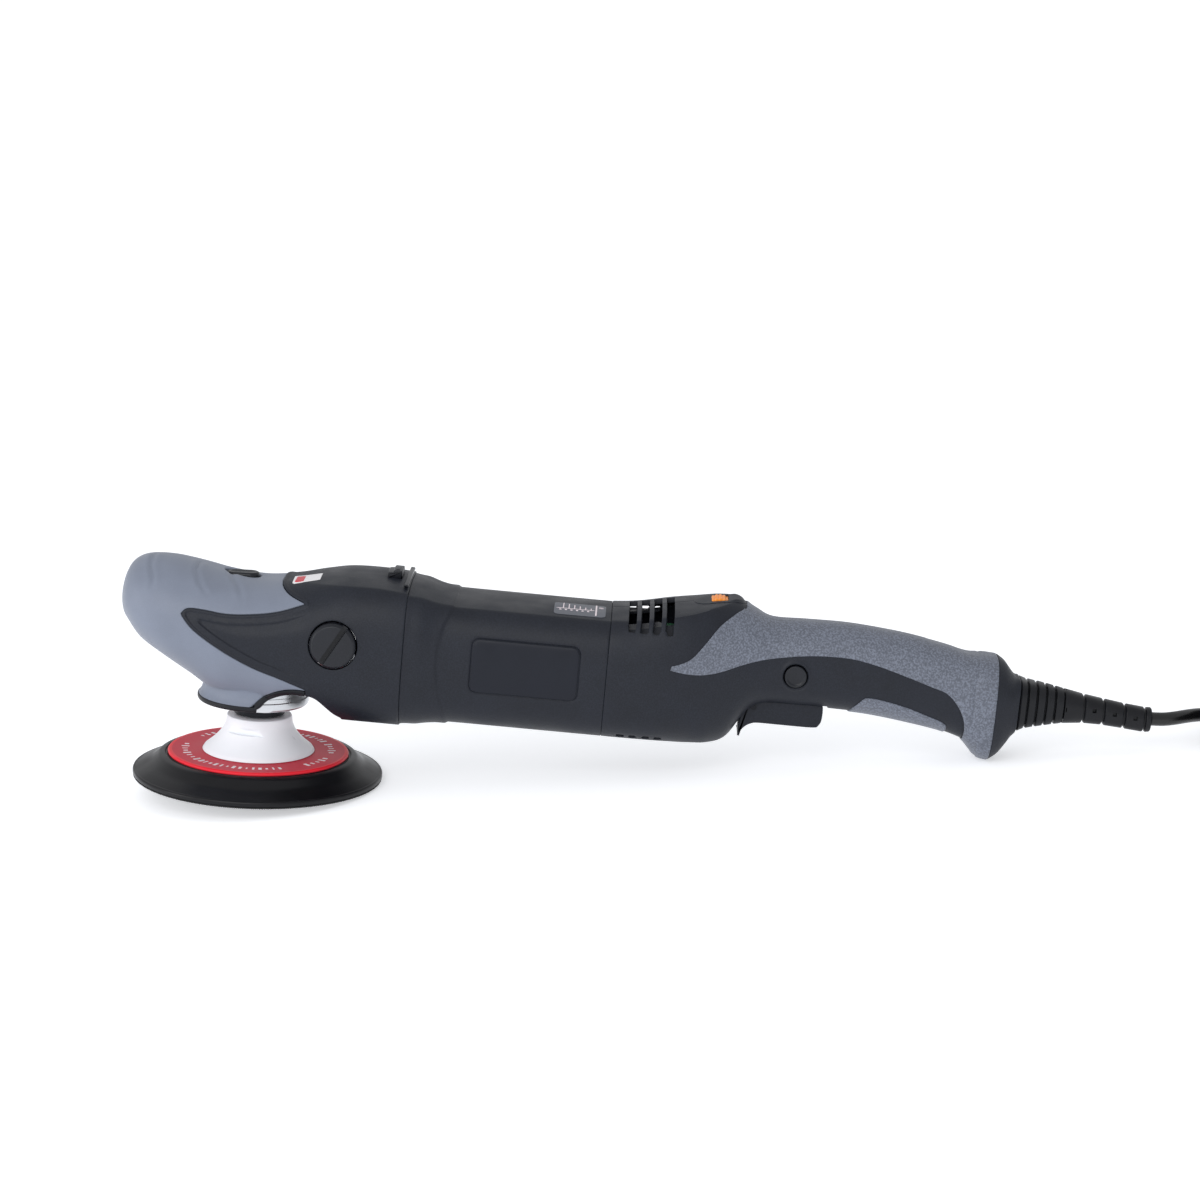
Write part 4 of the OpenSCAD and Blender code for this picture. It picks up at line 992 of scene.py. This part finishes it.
def make_lock_button():
    def ring(r, z, half=3.4, n=40):
        out = []
        for k in range(n):
            a = 2 * math.pi * k / n
            out.append([-10 + r * math.cos(a) + (half if math.cos(a) > 0 else -half), r * math.sin(a), z])
        return out
    rows = [(4.3, 100.6), (4.8, 101), (4.8, 103.8), (4.55, 104.5), (4.0, 104.85), (3.2, 104.9), (2.4, 104.6),
            (1.2, 104.4)]
    verts = [p for r, z in rows for p in ring(r, z)]
    pin = moved(revolve(rounded_profile([[0.01, 66.2, 0], [1.7, 66.2, 0.1], [2.2, 66.8, 0.1],
                                         [2.2, 100.9, 0.1], [0.01, 100.9, 0]], 0.1), 32), (-13.6, 0, 0))
    piece("lock_cap", *joined((verts, ring_faces(len(rows), 40)), pin), GLOSS_BLACK, body="lock_button",
          at=SPINDLE, replaces=["spindle_lock_button"], slot="black_gloss")


# ---- backing plate ----
def make_hub():
    curve = [[16.4 + 11.6 * (1 - t) ** 2, 14.9 + 16.4 * t] for t in np.linspace(0, 1, 26)]
    profile = [[9.8, 13.85], [27.6, 13.85], [28, 14.1]] + curve[1:-1] + [[16.35, 31.4], [16.1, 32.1],
                                                                         [15.5, 32.4], [9.8, 32.4]]
    hub = piece("plate_hub", *revolve(profile, 144), WHITE, body="spindle", at=SPINDLE,
                replaces=["backing_hub"], slot="white_plastic")
    for s in (-1, 1):
        low, high = sorted((s * 15.0, s * 26))
        turned = SPINDLE @ Matrix.Rotation(math.radians(-20), 4, "Z")
        carve(hub, block([-20, low, 24.8], [20, high, 28.2], 0.05), at=turned)


# groups of plain dashes round the disc: middle and half spread in degrees, and their number
MARK_GROUPS = [(-102, 36, 15), (-158, 26, 9), (-30, 12, 5), (12, 12, 5), (70, 36, 15), (130, 18, 7)]


def make_disc():
    red = [[28.4, 12.25], [45.0, 12.25], [45.2, 12.5], [45.2, 13.1], [44.7, 13.7], [44.0, 13.85],
           [43.2, 13.8], [28.4, 13.8]]
    parts = joined(revolve(red, 160), revolve([[9, 12.2], [28.3, 12.2], [28.3, 13.75], [9, 13.75]], 96))
    disc = piece("plate_disc", *parts, RED, body="spindle", at=SPINDLE, sharp=40, replaces=["backing_disc"],
                 slot="red_disc")
    disc.data.materials.append(RED_RIM)
    for face in disc.data.polygons:
        r = (disc.data.vertices[face.vertices[0]].co - Vector(SPINDLE.translation)).length
        face.material_index = 1 if r > 0.0455 else 0
    marks = []
    for middle, half, count in MARK_GROUPS:
        for k in range(count):
            a = math.radians(middle + half * (k / (count - 1) - 0.5) * 2)
            long = 1.5 + 0.5 * math.sin(k * 2.1 + middle)
            wide = 0.62 + 0.22 * math.cos(k * 1.7)
            dash = prism(rounded_profile([[-wide, -long], [wide, -long], [wide, long], [-wide, long]], 0.2,
                                         2), 13.78, 13.87, axis="z", bevel=0.02, bevel_steps=1)
            turn = Matrix.Rotation(a - math.pi / 2, 4, "Z")
            marks.append(moved(dash, (36.6 * math.cos(a), 36.6 * math.sin(a), 0), turn))
    piece("disc_marks", *joined(*marks), PRINT, body="spindle", at=SPINDLE, slot="white_plastic")


def make_pad():
    curve = smooth_curve([[60.9, 4.25], [57.5, 5.9], [53.8, 7.7], [51.2, 9.9], [49.4, 11.5], [47.6, 12.1]], 6)
    profile = [[9, 1.45], [62.1, 1.45], [62.5, 1.9], [62.5, 3.2], [62.25, 3.85], [61.8, 4.1], [61.3, 4.0]]
    profile += curve.tolist() + [[46.6, 12.2], [46.2, 11.6], [45.7, 11.6], [45.4, 12.15], [9, 12.15]]
    piece("plate_pad", *revolve(profile, 200), PAD_RUBBER, body="spindle", at=SPINDLE, sharp=50,
          replaces=["backing_pad"], slot="black_rubber")


def make_hooks():
    """The hook face: a thin backing with rows of tiny bent hooks along its rim and face."""
    base = revolve(rounded_profile([[9, 0.75, 0.1], [62.3, 0.75, 0.1], [62.4, 1.38, 0.1], [9, 1.38, 0.1]],
                                   0.1), 160)
    verts, faces = [], []
    count = 0
    for ring, r in enumerate(np.linspace(61.9, 58.6, 4)):
        steps = 430
        for k in range(steps):
            a = 2 * math.pi * (k + 0.5 * (ring % 2)) / steps
            lean = rng.uniform(-0.35, 0.5)
            out = r + lean if r + lean < 62.45 else 62.45
            tip = rng.uniform(0.02, 0.25)
            da = rng.uniform(-0.006, 0.006)
            w = 0.14
            c, s = math.cos(a), math.sin(a)
            verts += [[r * c - w * s, r * s + w * c, 0.9], [r * c + w * s, r * s - w * c, 0.9],
                      [(r - 0.25) * c, (r - 0.25) * s, 0.9],
                      [out * math.cos(a + da), out * math.sin(a + da), tip]]
            faces += [[count, count + 1, count + 3], [count + 1, count + 2, count + 3],
                      [count + 2, count, count + 3], [count, count + 2, count + 1]]
            count += 4
    piece("plate_hooks", *joined(base, (verts, faces)), HOOKS, body="spindle", at=SPINDLE,
          replaces=["hook_face"], slot="hook_tape")


# ---- motor housing and its labels ----
WAIST = [[-40, 98], [-22.9, 94.1], [-12.2, 91.1], [-1.4, 89.4], [9.6, 89.4], [20.7, 91.7], [29.8, 96.3],
         [45, 101]]


def waist_step(p):
    """The front of the motor housing stands a little proud of the waist behind it."""
    x = np.interp(p[:, 2], [w[0] for w in WAIST], [w[1] for w in WAIST])
    return p[:, 0] - x


def rounded_box(x0, x1, z0, z1, r, columns=(0, 2), side=-1):
    cx, cz, hx, hz = (x0 + x1) / 2, (z0 + z1) / 2, (x1 - x0) / 2 - r, (z1 - z0) / 2 - r

    def measure(p):
        a = np.abs(p[:, columns[0]] - cx) - hx
        b = np.abs(p[:, columns[1]] - cz) - hz
        d = np.hypot(np.maximum(a, 0), np.maximum(b, 0)) + np.minimum(np.maximum(a, b), 0) - r
        return np.where(p[:, 1] * side >= 0, d, FAR)
    return measure


plate_line = rounded_box(107, 159, -10.6, 15.6, 3.2)


def motor_detail(p):
    lift = 0.8 * (1 - blend01(waist_step(p), -0.9, 0.9)) * blend01(p[:, 0], 74, 82)
    groove = np.exp(-((plate_line(p) - 0.55) / 0.4) ** 2)
    return lift - 0.5 * groove


def make_motor():
    shell = patch_of(motor_skin, SEAM_FRONT, SEAM_REAR, step=1.5)
    for level in (-0.9, -0.45, 0, 0.45, 0.9):
        shell.cut(waist_step, level)
    for level in (0.05, 0.3, 0.55, 0.8, 1.1):
        shell.cut(plate_line, level)
    shell.trim(behind(SEAM_FRONT), 1, gap=0.02, round_r=0.5)
    shell.trim(before(SEAM_REAR), 1, gap=0.02, round_r=0.5)
    bearing_seat = along_x(revolve([[11.02, 160], [13.6, 160], [13.6, 169], [11.02, 169]], 64))
    arm = prism([[163, 13], [169, 13], [169, 29.5], [163, 29.5]], -2.2, 2.2, bevel=0.3)
    arms = [moved(arm, turn=Matrix.Rotation(math.radians(a), 4, "X")) for a in (45, 135, 225, 315)]
    parts = joined(shell.solid(motor_detail, wall=2.4), bearing_seat, *arms)
    piece("motor_shell", *parts, CASING, replaces=["motor_housing"], slot="black_casing")


def make_name_plate():
    plate = patch_of(motor_skin, 100, 165, step=1.5, around=(0, CREASE))
    plate.trim(plate_line, -1, gap=0.0, round_r=0.3)
    piece("maker_plate", *plate.solid(wall=0.33, base=0.35), PLATE, replaces=["name_plate"],
          slot="label_dark")


def strip(skin, x0, x1, y0, y1, lift, r=0.3, thick=0.12):
    """A thin printed shape on the flat top of a skin."""
    edge = rounded_box(x0, x1, y0, y1, r, columns=(0, 1), side=-1 if y1 <= 0 else 1)
    patch = patch_of(skin, x0 - 1, x1 + 1, step=1.0, around=(CREASE * 0.9, 1))
    patch.trim(only_above(20, edge), -1, gap=0.0, round_r=min(0.1, r))
    return patch.solid(wall=thick, base=lift)


def make_speed_label():
    base = strip(motor_skin, 144.4, 170, -20, -0.4, 0.2, r=2.5, thick=0.14)
    piece("speed_panel", *base, SPEED_BASE, replaces=["speed_label"], slot="label_light")
    marks = [strip(motor_skin, 145.4, 164.6, -11.1, -10.6, 0.3, r=0.2),
             strip(motor_skin, 164.8, 165.6, -18.6, -0.8, 0.3, r=0.3)]
    for k in range(6):
        x = 147.5 + 2.75 * k
        marks.append(strip(motor_skin, x - 0.55, x + 0.55, -13.9, -12.2, 0.3, r=0.3))
        marks.append(strip(motor_skin, x + 1.2, x + 1.7, -10.4, -1.2 - 1.35 * k, 0.3, r=0.2))
    marks.append(strip(motor_skin, 166.4, 168.8, -6.2, -5.7, 0.3, r=0.2))
    marks.append(strip(motor_skin, 166.4, 168.8, -4.8, -4.3, 0.3, r=0.2))
    piece("speed_marks", *joined(*marks), PRINT, slot="label_light")


def make_sticker():
    def corner_line(points):
        return signed_distance(outline(points, corners=(0, 1, 2, 3), steps=1), (0, 1))
    edge = corner_line([[15, -15], [28.5, -13.3], [28.6, -1.5], [15, -2.4]])
    patch = patch_of(head_skin, 13, 31, step=1.0, around=(0.5, 1))
    patch.trim(only_above(15, edge), -1, gap=0.0, round_r=0.12)
    piece("hood_label", *patch.solid(wall=0.2, base=0.35), STICKER, replaces=["hood_sticker"], slot="sticker")
    inner = corner_line([[16, -13.8], [20.4, -13.4], [20.6, -4], [16.4, -4.2]])
    red = patch_of(head_skin, 13, 31, step=1.0, around=(0.5, 1))
    red.trim(only_above(15, inner), -1, gap=0.0, round_r=0.1)
    piece("hood_label_panel", *red.solid(wall=0.12, base=0.44), STICKER_RED, slot="sticker")


# ---- handle ----
def vents(p):
    """How far a point is from the cooling slots over the handle's root and under it."""
    best = np.full(len(p), FAR)
    for i in range(4):
        dx = np.abs(p[:, 0] - (183.45 + 6.1 * i)) - 1.95
        near = np.maximum(np.maximum(dx, 25.4 - p[:, 2]), p[:, 1] - 17)
        far = np.maximum(np.maximum(dx, 25.4 - p[:, 2]), np.maximum(p[:, 2] - 29, -p[:, 1]))
        dx2 = np.abs(p[:, 0] - (182.45 + 6.2 * i)) - 1.95
        low = np.maximum(np.maximum(dx2, p[:, 2] + 28), 19.5 - np.abs(p[:, 1]))
        best = np.minimum(best, np.minimum(np.minimum(near, far), low))
    return best


def trigger_gap(p):
    return np.maximum(trigger_room(p), np.abs(p[:, 1]) - 8.8)


def dial_slot(half_long, half_wide):
    """How far a point is outside a rectangular opening over the dial."""
    def measure(p):
        d = np.maximum(np.abs(p[:, 0] - DIAL_X) - half_long, np.abs(p[:, 1]) - half_wide)
        return np.maximum(d, 20 - p[:, 2])
    return measure


dial_gap = dial_slot(7.0, 6.1)
dial_window = dial_slot(3.9, 6.0)


def button_gap(p):
    d = np.hypot(p[:, 0] - BUTTON[0], p[:, 2] - BUTTON[1]) - 6.1
    return np.where(p[:, 1] < -10, d, FAR)


def button_rim(p):
    d = np.hypot(p[:, 0] - BUTTON[0], p[:, 2] - BUTTON[1])
    return np.where(p[:, 1] < -10, 0.5 * np.exp(-((d - 7.0) / 0.7) ** 2), 0.0)


def make_rear(side, name, node):
    around = (0, 1) if side < 0 else (1, 2)
    shell = patch_of(rear_skin, SEAM_REAR, 352, step=1.5, around=around)
    shell.trim(vents, 1, gap=0.0, round_r=0.4)
    shell.trim(trigger_gap, 1, gap=0.0, round_r=0.6)
    shell.trim(dial_gap, 1, gap=0.0, round_r=0.3)
    shell.trim(behind(SEAM_REAR), 1, gap=0.02, round_r=0.5)
    shell.trim(lambda p: side * p[:, 1], 1, gap=0.01, round_r=0.25)
    shell.cut(grip_line, -0.8, keep=1)
    if side < 0:
        for level in (0.3, 0.6, 0.9, 1.3, 1.8):
            shell.cut(button_gap, level)
        shell.trim(button_gap, 1, gap=0.0, round_r=0.25)
    rib = patch_of(rear_skin, 180, 206, step=2.0, around=around)
    rib.cut(lambda p: np.where(p[:, 2] > 0, 1, -1) * (30.4 - np.abs(p[:, 2] - 3)), keep=1)
    rib.cut(lambda p: side * p[:, 1] - 15, keep=1)
    parts = joined(shell.solid(button_rim, wall=2.5), rib.solid(wall=1.2, base=-4.8))
    piece(name, *parts, CASING, replaces=[node], slot="black_casing")


def grip_cut(p):
    """Outside the dial's bezel, on the top of the handle."""
    d = np.maximum(np.abs(p[:, 0] - DIAL_X) - 13.2, np.abs(p[:, 1]) - 9.6)
    return np.where(p[:, 2] > 28, d, FAR)


def grip_detail(p):
    """One soft groove round the grip's end, bowed towards the back."""
    middle = 354.6 + 0.005 * (p[:, 2] - 4) ** 2
    return -0.5 * np.exp(-((p[:, 0] - middle) / 0.55) ** 2)


def make_grip():
    front = patch_of(rear_skin, 198, 330, step=1.3)
    front.trim(grip_line, -1, gap=0.0, round_r=0.55)
    front.trim(grip_cut, 1, gap=0.0, round_r=0.5)
    front.cut(before(330), keep=1)
    back = patch_of(grip_skin, 330, 366, step=0.8)
    back.trim(grip_line, -1, gap=0.0, round_r=0.55)
    back.trim(before(366), 1, gap=0.0, round_r=1.0)
    parts = joined(front.solid(wall=0.58, base=0.6), back.solid(grip_detail, wall=0.58, base=0.0))
    piece("grip_cover", *parts, GRIP_GREY, replaces=["rear_grip"], slot="grip_grey")


def make_inlay():
    inlay = patch_of(rear_skin, 290, 348, step=1.3)
    inlay.trim(inlay_line, -1, gap=0.0, round_r=0.55)
    piece("grip_inset", *inlay.solid(wall=0.58, base=0.6), GRIP_GREY, replaces=["grip_inlay"],
          slot="grip_grey")


def make_bezel():
    rim = patch_of(rear_skin, 210, 241, step=0.8, around=(0.5, 1.5))
    edge = only_above(28, rounded_box(213.2, 238.8, -9.3, 9.3, 8.5, columns=(0, 1), side=0))

    def lip(p):
        """Nearly flush in front, rising to a lip behind the dial."""
        return 0.75 * blend01(-edge(p), 0.1, 2.2) * blend01(p[:, 0], 229.5, 234) - 0.1
    rim.trim(edge, -1, gap=0.0, round_r=0.25)
    rim.trim(dial_window, 1, gap=0.0, round_r=0.3)
    piece("dial_frame", *rim.solid(lip, wall=0.3, base=0.35), CASING, replaces=["dial_bezel"],
          slot="black_gloss")


def make_dial():
    ridges = 24
    points = []
    for k in range(ridges * 6):
        a = 2 * math.pi * k / (ridges * 6)
        r = 7.78 - 0.5 * (0.5 - 0.5 * math.cos(a * ridges)) ** 2
        points.append([DIAL_X + r * math.cos(a), DIAL_Z + r * math.sin(a)])
    piece("dial_wheel", *prism(points, -5.55, 5.55, bevel=0.5), ORANGE, body="speed_dial", sharp=30,
          replaces=["speed_dial"], slot="orange_plastic")


def make_trigger():
    line = outline(TRIGGER_EDGE, corners=(1, 11, 12), steps=4)
    paddle = piece("trigger_paddle", *prism(line, -8.2, 8.2, bevel=0.8, bevel_steps=4), CASING,
                   body="trigger", replaces=["trigger"], slot="black_casing", sharp=30)
    room = prism([[252, -5], [252, -17], [279, -17], [281, -5]], -6, 6, bevel=0.01, bevel_steps=1)
    carve(paddle, room)


def make_lock_on():
    profile = rounded_profile([[0.01, 10, 0], [2.2, 10, 0.1], [2.2, 12.2, 0.1], [5.4, 12.2, 0.1],
                               [5.4, 19.4, 0.5], [4.6, 19.5, 0.2], [3.9, 19.0, 0.3], [0.01, 18.8, 0]], 0.2,
                              4)
    piece("hold_button", *out_of_flank(revolve(profile, 48), *BUTTON, -1), GLOSS_BLACK,
          body="lock_on_button", replaces=["lock_on_button"], slot="black_gloss")


def make_cap():
    cap = patch_of(cap_skin, None, None, step=0.8)
    cap.trim(behind(366.1), 1, gap=0.0, round_r=0.3)
    cap.trim(before(378.2), 1, gap=0.0, round_r=0.6)
    collar = revolve([[4.25, 352.8], [15, 352.8], [15, 366.3], [4.25, 366.3]], 64)
    back = revolve([[4.25, 374], [12, 374], [12, 378.1], [4.25, 378.1]], 64)
    piece("handle_cap", *joined(cap.solid(wall=2), along_x(collar, 1.5), along_x(back, 1.5)), CASING,
          replaces=["end_cap"], slot="black_casing")


RELIEF_LINE = [[379.0, 1.1, 13.0], [382.5, 1.4, 11.9], [391.8, 1.8, 10.3], [401.8, 1.85, 8.5],
               [413.3, 1.3, 7.0], [422, 0.6, 6.5], [432, -0.45, 6.2], [441.5, -1.3, 6.15],
               [445.4, -1.1, 6.0]]
RIBS = [3.0, 7.7, 12.4, 17.1, 22.0]
SEGMENTS = [(22.9, 31.6), (33.0, 41.6), (43.0, 52.2), (53.6, 62.6), (63.8, 66.3)]


def make_relief():
    """The ribbed strain relief: squarish ribs at its root, then longer segments with small windows."""
    line = smooth_curve(RELIEF_LINE, 10)
    run = line[:, 0] - line[0, 0]
    rows = []

    def add(x, drop, power):
        z, r = np.interp(x, run, line[:, 1]), np.interp(x, run, line[:, 2])
        rows.append((x + line[0, 0], z, r - drop, power))
    for x, drop in ((-0.6, 0.5), (0, 0), (2.6, 0.15)):
        add(x, drop, 3.4)
    for k, x in enumerate(RIBS):
        last = SEGMENTS[0][0] if k == 4 else RIBS[k + 1]
        power = 3.2 - 0.18 * k
        for ahead, drop in ((-0.15, 0.6), (0, 1.9), (0.8, 1.9), (0.9, 0.3), (1.3, 0.0)):
            add(x + ahead, drop, power)
        add(last - 0.5, 0.1, power)
    for x0, x1 in SEGMENTS:
        for ahead, drop in ((0, 0.3), (0.4, 0.0)):
            add(x0 + ahead, drop, 2.5)
        for ahead, drop in ((-0.4, 0.0), (0, 0.3), (0.15, 1.2), (0.9, 1.2)):
            add(x1 + ahead, drop, 2.4)
    rows = [row for row in rows if row[0] < 445.4]
    rows += [(445.45, -1.1, 5.0, 2.2), (445.5, -1.1, 3.45, 2)]
    n = 64
    a = np.linspace(0, 2 * math.pi, n, endpoint=False)
    c, s = np.cos(a), np.sin(a)
    rings = []
    for x, z, r, power in rows:
        reach = r / (np.abs(c) ** power + np.abs(s) ** power) ** (1 / power)
        rings.append(np.stack([np.full(n, x), reach * c, z + reach * s], 1))
    relief = piece("cord_relief", np.concatenate(rings), ring_faces(len(rings), n), CORD_GUARD, sharp=35,
                   replaces=["strain_relief"], slot="black_rubber")
    for x0, x1 in SEGMENTS[1:4]:
        x = (x0 + x1) / 2 + line[0, 0]
        z = float(np.interp(x, line[:, 0], line[:, 1])) + 1.0
        for side in (-1, 1):
            low, high = sorted((side * 4.9, side * 9))
            carve(relief, block([x - 1, low, z - 1], [x + 1, high, z + 1], 0.05))


# ---- inside parts: the imported meshes with real finishes; the spindle's steel is darkened as painted shade in the gap under the collar ----
# The spindle's dark steel paints the shade in the gap between the collar and the hub.
INSIDE = {"gear_housing": CAST, "gear_case_screws": STEEL, "lock_spring": STEEL, "spindle": DARK_STEEL_AND_GAP_SHADE,
          "spindle_bearing_lower": STEEL, "spindle_bearing_upper": STEEL, "crown_gear": GEAR_STEEL,
          "hub_insert": STEEL, "pinion": GEAR_STEEL, "armature_shaft": STEEL, "armature_core": SHEETS,
          "armature_windings": COPPER, "commutator": COPPER, "fan": GLOSS_BLACK,
          "armature_bearing_front": STEEL, "armature_bearing_rear": STEEL, "air_baffle": CASING,
          "stator_core": SHEETS, "field_coils": COPPER, "brush_holders": BRASS, "brushes": CARBON,
          "brush_springs": STEEL, "handle_screws": STEEL, "control_board": BOARD, "switch_body": GLOSS_BLACK,
          "trigger_pin": DARK_STEEL_AND_GAP_SHADE, "trigger_spring": STEEL, "lock_on_spring": STEEL,
          "cable_clamp": GLOSS_BLACK, "plug_pins": BRASS}


def finish_inside():
    for node, finish in INSIDE.items():
        obj = bpy.data.objects[node]
        obj.data.materials.clear()
        obj.data.materials.append(finish)


# ---- stage ----
FLOOR_SIZE = 200.0


def make_stage():
    mesh = bpy.data.meshes.new("floor")
    corners = [(x * FLOOR_SIZE, y * FLOOR_SIZE, 0) for x, y in ((-1, -1), (1, -1), (1, 1), (-1, 1))]
    mesh.from_pydata(corners, [], [(0, 1, 2, 3)])
    floor = bpy.data.objects.new("floor", mesh)
    bpy.context.scene.collection.objects.link(floor)
    m = bpy.data.materials.new("floor_paper")
    m.use_nodes = True
    shader = m.node_tree.nodes["Principled BSDF"]
    set_inputs(shader, {"Base Color": (0.8, 0.81, 0.83, 1), "Emission Color": (0.97, 0.98, 1.0, 1),
                        "Emission Strength": 0.5, "Roughness": 0.8, "Specular IOR Level": 0.2})
    mesh.materials.append(m)


def area_light(name, place, target, size, power):
    light = bpy.data.lights.new(name, "AREA")
    light.shape = "RECTANGLE"
    light.size, light.size_y = size
    light.energy = power
    obj = bpy.data.objects.new(name, light)
    bpy.context.scene.collection.objects.link(obj)
    obj.location = place
    obj.rotation_euler = (Vector(target) - Vector(place)).to_track_quat("-Z", "Y").to_euler()


def make_lights():
    world = bpy.data.worlds.new("studio")
    bpy.context.scene.world = world
    world.use_nodes = True
    set_inputs(world.node_tree.nodes["Background"], {"Color": (0.97, 0.98, 1.0, 1), "Strength": 0.7})
    area_light("front_panel", (-0.5, -1.5, 1.0), (0, 0, 0.08), (1.4, 1.0), 12)
    area_light("left_panel", (-1.5, -0.5, 0.5), (-0.1, 0, 0.08), (0.6, 0.8), 5)


bpy.context.scene.view_settings.view_transform = "Standard"
cord, cord_total = make_cord()
make_plug()
make_tie()
for make in (make_hood, make_skirt_trim, make_cover, make_latch, make_side_plugs, make_neck, make_lock_button,
             make_hub, make_disc, make_pad, make_hooks, make_motor, make_name_plate, make_speed_label,
             make_sticker):
    make()
make_rear(-1, "handle_half_left", "rear_housing_left")
make_rear(1, "handle_half_right", "rear_housing_right")
for make in (make_grip, make_inlay, make_bezel, make_dial, make_trigger, make_lock_on, make_cap, make_relief,
             finish_inside, make_stage, make_lights):
    make()
